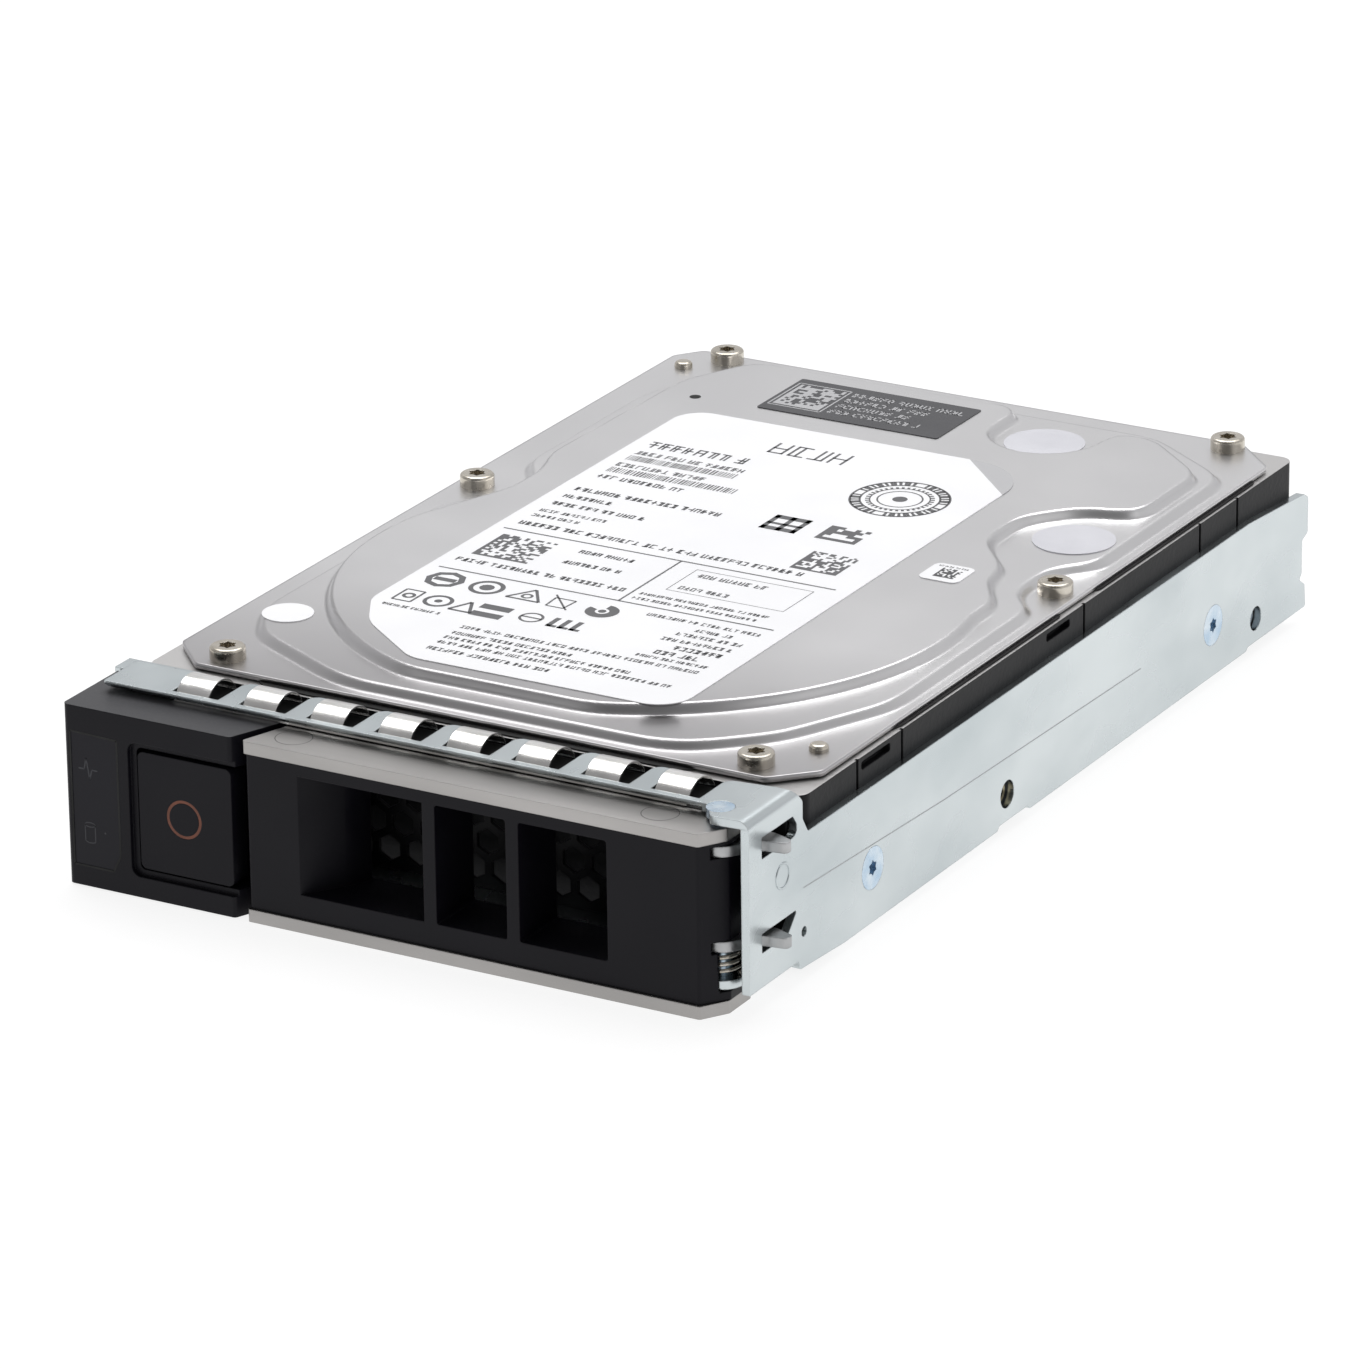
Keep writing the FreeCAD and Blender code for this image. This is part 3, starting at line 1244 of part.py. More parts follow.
os.makedirs("parts", exist_ok=True)
for node in nodes:
    node.Shape.exportStep("parts/%s.step" % node.Label)
print("%d sub-parts" % len(nodes))
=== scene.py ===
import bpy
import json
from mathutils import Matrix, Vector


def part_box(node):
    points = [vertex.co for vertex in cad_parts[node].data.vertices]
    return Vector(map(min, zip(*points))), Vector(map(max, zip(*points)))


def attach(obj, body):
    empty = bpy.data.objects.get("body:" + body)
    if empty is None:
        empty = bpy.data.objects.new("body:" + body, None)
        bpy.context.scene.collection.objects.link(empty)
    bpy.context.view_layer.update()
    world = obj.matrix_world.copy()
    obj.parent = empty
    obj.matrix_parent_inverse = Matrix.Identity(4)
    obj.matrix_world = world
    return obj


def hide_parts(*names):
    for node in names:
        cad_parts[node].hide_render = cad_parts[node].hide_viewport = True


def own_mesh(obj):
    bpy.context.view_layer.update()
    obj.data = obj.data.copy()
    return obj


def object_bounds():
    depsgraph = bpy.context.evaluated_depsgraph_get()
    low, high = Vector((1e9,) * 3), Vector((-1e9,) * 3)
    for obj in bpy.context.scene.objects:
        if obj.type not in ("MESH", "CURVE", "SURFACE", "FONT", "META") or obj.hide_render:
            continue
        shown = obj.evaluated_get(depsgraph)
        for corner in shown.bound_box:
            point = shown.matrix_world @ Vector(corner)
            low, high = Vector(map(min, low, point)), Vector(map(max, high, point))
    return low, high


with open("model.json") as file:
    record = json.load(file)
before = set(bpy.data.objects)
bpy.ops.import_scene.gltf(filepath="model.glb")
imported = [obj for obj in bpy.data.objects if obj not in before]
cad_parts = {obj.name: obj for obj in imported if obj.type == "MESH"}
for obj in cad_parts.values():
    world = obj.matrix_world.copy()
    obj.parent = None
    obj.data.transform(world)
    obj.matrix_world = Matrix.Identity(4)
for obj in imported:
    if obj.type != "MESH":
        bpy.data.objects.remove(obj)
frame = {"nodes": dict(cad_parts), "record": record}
cad_box = [list(corner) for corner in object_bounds()]

import json
import math
import random

import bpy
import numpy as np
from mathutils import Matrix, Vector

# Hard disk drive in a hot-swap carrier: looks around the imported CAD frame.
# Sizes in the calls are millimetres; everything placed in Blender is metres.

MM = 0.001
SKIN = 0.015  # how far printed marks stand off the surface under them
node = frame["nodes"]
cast_low, cast_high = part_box("base_casting")


def at(x, y, z=0.0):
    """A place measured across, back and up from the drive's front edge, at mid-width, underneath."""
    return Vector(((cast_low.x + cast_high.x) / 2 + x * MM, cast_low.y + y * MM, cast_low.z + z * MM))


def level_of(name, side=1):
    """Height of a node's top (or underside) in millimetres above the drive's underside."""
    return (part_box(name)[side].z - cast_low.z) / MM


# ---------------------------------------------------------------- camera, lights and floor


def add(name, data):
    thing = bpy.data.objects.new(name, data)
    bpy.context.scene.collection.objects.link(thing)
    return thing


def add_camera():
    """The photo's view: from the right of the front, looking down, on a long lens."""
    place = at(524.71, -853.78, 419.42)
    around, down, lean = (math.radians(angle) for angle in (29.92, 90 - 21.33, -0.7))
    data = bpy.data.cameras.new("camera")
    data.sensor_width = 36
    data.lens = 213.6
    camera = add("camera", data)
    aim = Matrix.Rotation(around, 4, "Z") @ Matrix.Rotation(down, 4, "X")
    camera.matrix_world = Matrix.Translation(place) @ aim @ Matrix.Rotation(lean, 4, "Z")
    bpy.context.scene.camera = camera


def add_light(name, place, target, size, power, colour=(1, 1, 1)):
    data = bpy.data.lights.new(name, "AREA")
    data.shape = "RECTANGLE"
    data.size, data.size_y = size
    data.energy = power
    data.color = colour
    light = add(name, data)
    away = Vector(place) - Vector(target)
    light.matrix_world = Matrix.Translation(Vector(place)) @ away.to_track_quat("Z", "Y").to_matrix().to_4x4()


def add_world():
    world = bpy.data.worlds.new("studio")
    bpy.context.scene.world = world
    world.use_nodes = True
    tree = world.node_tree
    background = tree.nodes["Background"]
    direction = tree.nodes.new("ShaderNodeTexCoord")
    split = tree.nodes.new("ShaderNodeSeparateXYZ")
    ramp = tree.nodes.new("ShaderNodeValToRGB")
    tree.links.new(direction.outputs["Generated"], split.inputs[0])
    tree.links.new(split.outputs["Z"], ramp.inputs[0])
    stops = ramp.color_ramp.elements
    stops[0].position, stops[0].color = 0.0, (0.52, 0.52, 0.54, 1)
    stops[1].position, stops[1].color = 1.0, (0.40, 0.40, 0.41, 1)
    for position, level in ((0.32, 0.78), (0.62, 0.60)):
        stops.new(position).color = (level, level, level + 0.01, 1)
    # the studio is dim behind the camera, so steps that face the front read as thin dark lines
    behind = tree.nodes.new("ShaderNodeMapRange")
    tree.links.new(split.outputs["Y"], behind.inputs["Value"])
    for key, number in (("From Min", -0.8), ("From Max", 0.1), ("To Min", 0.25), ("To Max", 1.0)):
        behind.inputs[key].default_value = number
    shade = tree.nodes.new("ShaderNodeMix")
    shade.data_type = "RGBA"
    shade.inputs[6].default_value = (0, 0, 0, 1)
    tree.links.new(behind.outputs["Result"], shade.inputs["Factor"])
    tree.links.new(ramp.outputs[0], shade.inputs[7])
    tree.links.new(shade.outputs[2], background.inputs["Color"])
    background.inputs["Strength"].default_value = 0.97


def add_floor():
    mesh = bpy.data.meshes.new("floor")
    half, gap = 3.0, 0.2 * MM
    low = cad_box[0][2] - gap
    mesh.from_pydata([(-half, -half, low), (half, -half, low), (half, half, low), (-half, half, low)],
                     [], [(0, 1, 2, 3)])
    floor = add("floor", mesh)
    paper = bpy.data.materials.new("floor_paper")
    paper.use_nodes = True
    shader = paper.node_tree.nodes["Principled BSDF"]
    shader.inputs["Base Color"].default_value = (0.2, 0.2, 0.2, 1)
    shader.inputs["Roughness"].default_value = 0.9
    shader.inputs["Specular IOR Level"].default_value = 0.1
    shader.inputs["Emission Color"].default_value = (1, 1, 1, 1)
    shader.inputs["Emission Strength"].default_value = 0.86
    mesh.materials.append(paper)


# ---------------------------------------------------------------- materials


class Finish:
    """A principled material whose colour, roughness and relief vary over the object, in millimetres."""

    def __init__(self, name, colour, rough, metal=0.0, specular=0.5):
        self.material = bpy.data.materials.new(name)
        self.material.use_nodes = True
        self.tree = self.material.node_tree
        self.shader = self.tree.nodes["Principled BSDF"]
        self.shader.inputs["Metallic"].default_value = metal
        self.shader.inputs["Specular IOR Level"].default_value = specular
        self.place = self.make("ShaderNodeTexCoord").outputs["Object"]
        self.colour = None
        self.rough = rough
        self.tint(colour)

    def make(self, kind, **settings):
        made = self.tree.nodes.new(kind)
        for key, value in settings.items():
            setattr(made, key, value)
        return made

    def join(self, source, target):
        self.tree.links.new(source, target)

    def noise(self, size, stretch=(1, 1, 1), detail=3.0):
        """Noise with features of about size millimetres, drawn out by stretch."""
        scale = self.make("ShaderNodeVectorMath", operation="MULTIPLY")
        self.join(self.place, scale.inputs[0])
        scale.inputs[1].default_value = [1 / (size * MM * pull) for pull in stretch]
        noise = self.make("ShaderNodeTexNoise")
        noise.inputs["Scale"].default_value = 1.0
        noise.inputs["Detail"].default_value = detail
        self.join(scale.outputs[0], noise.inputs["Vector"])
        return noise.outputs["Fac"]

    def blend(self, factor, first, second):
        mix = self.make("ShaderNodeMix", data_type="RGBA")
        self.join(factor, mix.inputs["Factor"])
        for socket, colour in ((mix.inputs[6], first), (mix.inputs[7], second)):
            if isinstance(colour, tuple):
                socket.default_value = (*colour, 1)
            else:
                self.join(colour, socket)
        return mix.outputs[2]

    def number(self, operation, first, second):
        sum_node = self.make("ShaderNodeMath", operation=operation)
        for socket, value in ((sum_node.inputs[0], first), (sum_node.inputs[1], second)):
            if isinstance(value, (int, float)):
                socket.default_value = value
            else:
                self.join(value, socket)
        return sum_node.outputs[0]

    def spread(self, value, low, high, to_low=0.0, to_high=1.0):
        spread = self.make("ShaderNodeMapRange")
        self.join(value, spread.inputs["Value"])
        for key, number in (("From Min", low), ("From Max", high), ("To Min", to_low), ("To Max", to_high)):
            spread.inputs[key].default_value = number
        return spread.outputs["Result"]

    def tint(self, colour):
        self.colour = colour
        target = self.shader.inputs["Base Color"]
        if isinstance(colour, tuple):
            target.default_value = (*colour, 1)
        else:
            self.join(colour, target)

    def cloud(self, size, darker, lighter, stretch=(1, 1, 1)):
        """Soft variation of the colour between two tones."""
        field = self.spread(self.noise(size, stretch), 0.3, 0.7)
        self.tint(self.blend(field, darker, lighter))
        return self

    def patchy(self, size, low, high, stretch=(1, 1, 1)):
        """Roughness that wanders between two values."""
        self.join(self.spread(self.noise(size, stretch), 0.3, 0.7, low, high), self.shader.inputs["Roughness"])
        self.rough = None
        return self

    def relief(self, *layers, edge=0.12):
        """Bump from (size, height, stretch) layers, over softly rounded edges."""
        normal = None
        if edge:
            bevel = self.make("ShaderNodeBevel", samples=4)
            bevel.inputs["Radius"].default_value = edge * MM
            normal = bevel.outputs[0]
        for size, height, stretch in layers:
            bump = self.make("ShaderNodeBump")
            bump.inputs["Strength"].default_value = 1.0
            bump.inputs["Distance"].default_value = height * MM
            self.join(self.noise(size, stretch, 2.0), bump.inputs["Height"])
            if normal is not None:
                self.join(normal, bump.inputs["Normal"])
            normal = bump.outputs[0]
        if normal is not None:
            self.join(normal, self.shader.inputs["Normal"])
        return self

    def above(self, level, colour, rough, metal):
        """Another finish above a height, such as a machined rim on a painted casting."""
        split = self.make("ShaderNodeSeparateXYZ")
        self.join(self.place, split.inputs[0])
        mask = self.number("GREATER_THAN", split.outputs["Z"], level)
        self.tint(self.blend(mask, self.colour, colour))
        self.join(self.spread(mask, 0, 1, self.rough, rough), self.shader.inputs["Roughness"])
        self.join(self.spread(mask, 0, 1, 0, metal), self.shader.inputs["Metallic"])
        self.rough = None
        return self

    def done(self):
        if self.rough is not None:
            self.shader.inputs["Roughness"].default_value = self.rough
        return self.material


ROUND = (1, 1, 1)
ACROSS = (40, 1, 1)  # lines that run along X
LONG = (1, 40, 1)  # lines that run along Y


def metal(name, dark, light, low, high, *layers, size=16, stretch=ROUND, edge=0.12):
    finish = Finish(name, light, (low + high) / 2, 1.0)
    finish.cloud(size, dark, light, stretch).patchy(size * 0.6, low, high, stretch)
    return finish.relief(*layers, edge=edge).done()


def dull(name, dark, light, low, high, *layers, size=12, specular=0.4, edge=0.12):
    finish = Finish(name, light, (low + high) / 2, 0.0, specular)
    finish.cloud(size, dark, light).patchy(size * 0.5, low, high)
    return finish.relief(*layers, edge=edge).done()


def cover_finish():
    """Satin steel with painted shade that darkens it a little towards the drive's front edge."""
    steel = Finish("cover_steel", (0.71, 0.705, 0.71), 0.34, 1.0)
    steel.cloud(30, (0.685, 0.68, 0.685), (0.715, 0.71, 0.712)).patchy(18, 0.31, 0.36)
    split = steel.make("ShaderNodeSeparateXYZ")
    steel.join(steel.place, split.inputs[0])
    # painted shade: the cover colour darkens from here towards the front edge, standing in for shade rather
    # than a real change of tone
    painted_shade_front_y, plain = at(0, 2).y, at(0, 42).y
    back = steel.spread(split.outputs["Y"], painted_shade_front_y, plain)
    steel.tint(steel.blend(back, (0.44, 0.43, 0.435), steel.colour))
    return steel.relief((0.5, 0.0010, LONG), (9, 0.003, ROUND), edge=0).done()


def moulded_black():
    """Black plastic, whose upward faces near the top carry a painted highlight for the light they catch."""
    plastic = Finish("black_plastic", (0.005, 0.005, 0.008), 0.42, 0.0, 0.16)
    plastic.cloud(12, (0.0044, 0.0040, 0.0066), (0.0066, 0.0061, 0.0094)).patchy(6, 0.34, 0.46)
    split = plastic.make("ShaderNodeSeparateXYZ")
    plastic.join(plastic.place, split.inputs[0])
    facing = plastic.make("ShaderNodeSeparateXYZ")
    plastic.join(plastic.make("ShaderNodeNewGeometry").outputs["Normal"], facing.inputs[0])
    top_faces = at(0, 0, 22.2).z
    # painted highlight: upward-facing faces above this height get a lighter colour that stands in for the light
    # falling on them
    high = plastic.number("GREATER_THAN", split.outputs["Z"], top_faces)
    lit = plastic.number("MULTIPLY", high, plastic.spread(facing.outputs["Z"], 0.7, 0.98))
    painted_top_highlight = plastic.blend(plastic.noise(0.5), (0.060, 0.060, 0.064), (0.080, 0.080, 0.085))
    plastic.tint(plastic.blend(lit, plastic.colour, painted_top_highlight))
    return plastic.relief((0.22, 0.010, ROUND), (0.08, 0.003, ROUND), edge=0.22).done()


def label_film():
    """White label stock, whose rear right corner is clear film over the bare cover."""
    film = Finish("white_label", (0.96, 0.96, 0.97), 0.36, 0.0, 0.4)
    film.cloud(20, (0.93, 0.93, 0.945), (0.97, 0.97, 0.98)).patchy(10, 0.32, 0.42)
    split = film.make("ShaderNodeSeparateXYZ")
    film.join(film.place, split.inputs[0])
    corner = at(14.5, 115.4)
    total = film.number("ADD", split.outputs["X"], split.outputs["Y"])
    clear = film.number("GREATER_THAN", total, corner.x + corner.y)
    inside = film.number("GREATER_THAN", split.outputs["X"], at(13, 0).x)
    film.tint(film.blend(film.number("MULTIPLY", clear, inside), film.colour, (0.50, 0.50, 0.51)))
    return film.relief((3, 0.004, ROUND), (0.2, 0.001, ROUND), edge=0).done()


def make_materials():
    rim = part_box("base_casting")[1].z - 0.02 * MM
    casting = Finish("cast_black", (0.007, 0.007, 0.008), 0.42, 0.0, 0.14)
    casting.cloud(9, (0.005, 0.005, 0.006), (0.010, 0.010, 0.011)).above(rim, (0.62, 0.61, 0.60), 0.34, 0.9)
    casting.relief((0.9, 0.03, ROUND), (0.25, 0.012, ROUND), edge=0.25)
    return {
        "cast_black": casting.done(),
        "cover_steel": cover_finish(),
        "gasket": dull("gasket", (0.01, 0.01, 0.01), (0.02, 0.02, 0.02), 0.7, 0.9, (0.3, 0.01, ROUND)),
        "nickel_screw": metal("nickel_screw", (0.50, 0.46, 0.39), (0.66, 0.62, 0.55), 0.16, 0.30,
                              (0.4, 0.004, ROUND), size=3, edge=0.2),
        "blue_zinc": metal("blue_zinc", (0.42, 0.56, 0.70), (0.66, 0.74, 0.80), 0.22, 0.34,
                           (0.5, 0.006, ROUND), size=2.5, edge=0.12),
        "zinc_sheet": metal("zinc_sheet", (0.50, 0.55, 0.565), (0.64, 0.685, 0.695), 0.20, 0.34,
                            (2.2, 0.010, (1, 3, 1)), (14, 0.06, ROUND),
                            size=15, stretch=(1, 1.8, 1), edge=0.25),
        "bright_spring": metal("bright_spring", (0.78, 0.77, 0.74), (0.92, 0.91, 0.89), 0.14, 0.26,
                               (1.2, 0.008, (1, 3, 1)), size=5, edge=0.08),
        "black_plastic": moulded_black(),
        "window_plastic": dull("window_plastic", (0.0052, 0.0048, 0.0088), (0.0074, 0.0068, 0.0118), 0.30, 0.38,
                               (0.3, 0.004, ROUND), specular=0.2, edge=0.05),
        "ring_orange": dull("ring_orange", (0.13, 0.036, 0.016), (0.19, 0.055, 0.026), 0.35, 0.5,
                            (0.2, 0.004, ROUND), size=2, edge=0.03),
        "grip_plate": metal("grip_plate", (0.35, 0.34, 0.33), (0.45, 0.435, 0.425), 0.34, 0.44,
                            (0.16, 0.004, ACROSS), (0.5, 0.004, ROUND), size=9, stretch=(5, 1, 1), edge=0.2),
        "zinc_casting": metal("zinc_casting", (0.36, 0.365, 0.37), (0.50, 0.505, 0.51), 0.32, 0.46,
                              (0.5, 0.02, ROUND), size=4, edge=0.3),
        "white_label": label_film(),
        "dark_label": dull("dark_label", (0.055, 0.055, 0.06), (0.075, 0.075, 0.08), 0.38, 0.5,
                           (0.3, 0.003, ROUND), size=8, edge=0),
        "silver_label": dull("silver_label", (0.62, 0.62, 0.66), (0.70, 0.70, 0.74), 0.34, 0.46,
                             (2.5, 0.005, ROUND), size=8, edge=0.03),
        "disc_mirror": metal("disc_mirror", (0.74, 0.74, 0.74), (0.80, 0.80, 0.80), 0.03, 0.06,
                             (0.3, 0.0004, ROUND)),
        "aluminium": metal("aluminium", (0.56, 0.57, 0.58), (0.70, 0.71, 0.72), 0.25, 0.38,
                           (0.3, 0.006, ROUND)),
        "magnet": metal("magnet", (0.45, 0.45, 0.46), (0.58, 0.58, 0.58), 0.25, 0.4, (0.6, 0.008, ROUND)),
        "coil_copper": metal("coil_copper", (0.50, 0.22, 0.09), (0.70, 0.36, 0.17), 0.25, 0.4,
                             (0.2, 0.03, (1, 1, 12)), size=3),
        "board_green": dull("board_green", (0.012, 0.075, 0.04), (0.02, 0.11, 0.06), 0.25, 0.38,
                            (1.3, 0.02, ROUND), size=4, edge=0.05),
        "chip_black": dull("chip_black", (0.012, 0.012, 0.012), (0.022, 0.022, 0.022), 0.5, 0.65,
                           (0.2, 0.006, ROUND)),
        "natural_plastic": dull("natural_plastic", (0.62, 0.56, 0.44), (0.72, 0.67, 0.55), 0.4, 0.5,
                                (0.3, 0.006, ROUND)),
        "filter_white": dull("filter_white", (0.02, 0.02, 0.02), (0.05, 0.05, 0.05), 0.8, 0.95,
                             (0.3, 0.08, ROUND)),
    }


def dress_frame(materials):
    """Gives every CAD node the finish of its own material slot."""
    for part in frame["record"]["subparts"]:
        mesh_object = node[part["node"]]
        if not mesh_object.material_slots:
            mesh_object.data.materials.append(None)
        for slot in mesh_object.material_slots:
            slot.material = materials[part["material_slot"]]


# ---------------------------------------------------------------- stamped cover


def outline_at(name, level):
    """The largest closed boundary of a node's level faces at a height in metres, as (x, y) points."""
    mesh = node[name].data
    sides = set()
    for face in mesh.polygons:
        corners = [mesh.vertices[index].co for index in face.vertices]
        if face.normal.z > 0.9 and all(abs(corner.z - level) < 0.03 * MM for corner in corners):
            keys = [(round(corner.x, 6), round(corner.y, 6)) for corner in corners]
            sides.update(zip(keys, keys[1:] + keys[:1]))
    follow = {start: end for start, end in sides if (end, start) not in sides}
    loops = []
    while follow:
        start, point = follow.popitem()
        loop = [start]
        while point != start and point in follow:
            loop.append(point)
            point = follow.pop(point)
        loops.append(np.array(loop))
    return max(loops, key=lambda loop: np.ptp(loop[:, 0]) * np.ptp(loop[:, 1]))


def softened(loop, step=0.5 * MM, span=6.5 * MM):
    """The loop at even steps, with its corners run together as a press leaves them."""
    closed = np.vstack([loop, loop[:1]])
    along = np.concatenate([[0], np.cumsum(np.hypot(*np.diff(closed, axis=0).T))])
    count = int(along[-1] / step)
    even = np.linspace(0, along[-1], count, endpoint=False)
    dense = np.column_stack([np.interp(even, along, closed[:, axis]) for axis in (0, 1)])
    half = int(span / step / 2)
    return sum(np.roll(dense, shift, axis=0) for shift in range(-half, half + 1)) / (2 * half + 1)


def reach(points, loop):
    """Distance of points to a loop, positive inside it, and the nearest place on it."""
    best = np.full(len(points), np.inf)
    nearest = np.zeros_like(points)
    inside = np.zeros(len(points), bool)
    for start, end in zip(loop, np.roll(loop, -1, axis=0)):
        run = end - start
        share = np.clip((points - start) @ run / max(run @ run, 1e-18), 0, 1)
        foot = start + share[:, None] * run
        gap = np.hypot(*(points - foot).T)
        closer = gap < best
        best[closer] = gap[closer]
        nearest[closer] = foot[closer]
        if start[1] != end[1]:
            crossing = start[0] + run[0] * (points[:, 1] - start[1]) / run[1]
            inside ^= ((start[1] > points[:, 1]) != (end[1] > points[:, 1])) & (points[:, 0] < crossing)
    return np.where(inside, best, -best), nearest


def ease(value, low, high):
    share = np.clip((value - low) / (high - low), 0, 1)
    return share * share * (3 - 2 * share)


def cover_skin(material):
    """The cover as one stamped sheet: its steps run into each other with the press's radii."""
    low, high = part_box("top_cover")
    flange = low.z + 0.8 * MM
    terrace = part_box("front_seal_sticker")[0].z
    plateau = high.z
    cell = 0.32 * MM
    xs = np.arange(low.x - cell, high.x + 2 * cell, cell)
    ys = np.arange(low.y - cell, high.y + 2 * cell, cell)
    grid = np.stack(np.meshgrid(xs, ys), -1).reshape(-1, 2)
    corner = np.arange(len(grid)).reshape(len(ys), len(xs))
    quads = np.stack([corner[:-1, :-1], corner[:-1, 1:], corner[1:, 1:], corner[1:, :-1]], -1).reshape(-1, 4)
    edge, foot = reach(grid, outline_at("top_cover", flange))
    quads = quads[edge[quads].mean(axis=1) > 0]
    used, uses = np.unique(quads, return_counts=True)
    rim = used[uses < 4]
    grid[rim] = foot[rim]
    grid = grid[used]
    quads = np.searchsorted(used, quads)
    to_terrace, _ = reach(grid, softened(outline_at("top_cover", terrace)))
    to_plateau, _ = reach(grid, softened(outline_at("top_cover", plateau)))
    height = flange + (terrace - flange) * ease(to_terrace, -0.5 * MM, 1.0 * MM)
    height += (plateau - terrace) * ease(to_plateau, -0.2 * MM, 0.9 * MM)
    mesh = bpy.data.meshes.new("cover_skin")
    mesh.from_pydata(np.column_stack([grid, height]).tolist(), [], quads.tolist())
    mesh.polygons.foreach_set("use_smooth", [True] * len(mesh.polygons))
    mesh.materials.append(material)
    skin = add("cover_skin", mesh)
    sheet = skin.modifiers.new("sheet", "SOLIDIFY")
    sheet.thickness = 0.75 * MM
    sheet.offset = -1
    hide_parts("top_cover")
    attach(skin, "carrier")


# ---------------------------------------------------------------- printed marks


class Print:
    """Flat marks on one surface, drawn in millimetres and gathered into one thin mesh."""

    def __init__(self, origin, across, up):
        self.origin, self.across, self.up = origin, Vector(across), Vector(up)
        self.points, self.faces = [], []

    def shape(self, *corners):
        first = len(self.points)
        for x, y in corners:
            self.points.append(self.origin + self.across * (x * MM) + self.up * (y * MM))
        self.faces.append(tuple(range(first, first + len(corners))))

    def box(self, left, low, right, high):
        self.shape((left, low), (right, low), (right, high), (left, high))

    def line(self, x1, y1, x2, y2, width):
        away = Vector((y1 - y2, x2 - x1)).normalized() * width / 2
        self.shape((x1 - away.x, y1 - away.y), (x2 - away.x, y2 - away.y), (x2 + away.x, y2 + away.y),
                   (x1 + away.x, y1 + away.y))

    def path(self, width, *points):
        for (x1, y1), (x2, y2) in zip(points, points[1:]):
            self.line(x1, y1, x2, y2, width)

    def ring(self, x, y, inner, outer, first=0, last=360, sides=40):
        turns = [math.radians(first + (last - first) * step / sides) for step in range(sides + 1)]
        for a, b in zip(turns, turns[1:]):
            corners = [(x + outer * math.cos(turn), y + outer * math.sin(turn)) for turn in (a, b)]
            if inner:
                corners += [(x + inner * math.cos(turn), y + inner * math.sin(turn)) for turn in (b, a)]
            else:
                corners.append((x, y))
            self.shape(*corners)

    def words(self, left, low, right, height, seed, bold=0.13):
        """A line of made-up glyphs in words of a few letters."""
        dice = random.Random(seed)
        stroke, wide, x, letters = height * bold, height * 0.6, left, dice.randint(3, 8)
        while x + wide < right:
            if letters == 0:
                x += wide * 0.7
                letters = dice.randint(2, 8)
                continue
            top, mid, end = low + height, low + height * 0.5, x + wide
            bars = {
                "left": (x, low, x + stroke, top),
                "right": (end - stroke, low, end, top),
                "stem": (x + wide / 2 - stroke / 2, low, x + wide / 2 + stroke / 2, top),
                "top": (x, top - stroke, end, top),
                "mid": (x, mid - stroke / 2, end, mid + stroke / 2),
                "low": (x, low, end, low + stroke),
            }
            upright = dice.sample(("left", "right", "stem"), dice.choice((1, 2, 2)))
            level = dice.sample(("top", "mid", "low"), dice.choice((1, 2, 2)))
            for key in upright + level:
                self.box(*bars[key])
            x += wide * 1.28
            letters -= 1

    def bars(self, left, low, right, high, seed):
        dice = random.Random(seed)
        x = left
        while x < right:
            wide = dice.choice((0.14, 0.2, 0.32))
            self.box(x, low, x + wide, high)
            x += wide + dice.choice((0.14, 0.2, 0.3))

    def cells(self, left, low, right, high, across, down, seed, fill=0.52):
        """A block of random cells with a solid corner, like a machine-read code."""
        dice = random.Random(seed)
        wide, tall = (right - left) / across, (high - low) / down
        for row in range(down):
            for column in range(across):
                if column == 0 or row == 0 or dice.random() < fill:
                    x, y = left + column * wide, low + row * tall
                    self.box(x, y, left + (column + 1) * wide, low + (row + 1) * tall)

    def build(self, name, material, slot, body="carrier"):
        mesh = bpy.data.meshes.new(name)
        mesh.from_pydata([tuple(point) for point in self.points], [], self.faces)
        mesh.materials.append(material)
        mark = add(name, mesh)
        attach(mark, body)
        return mark


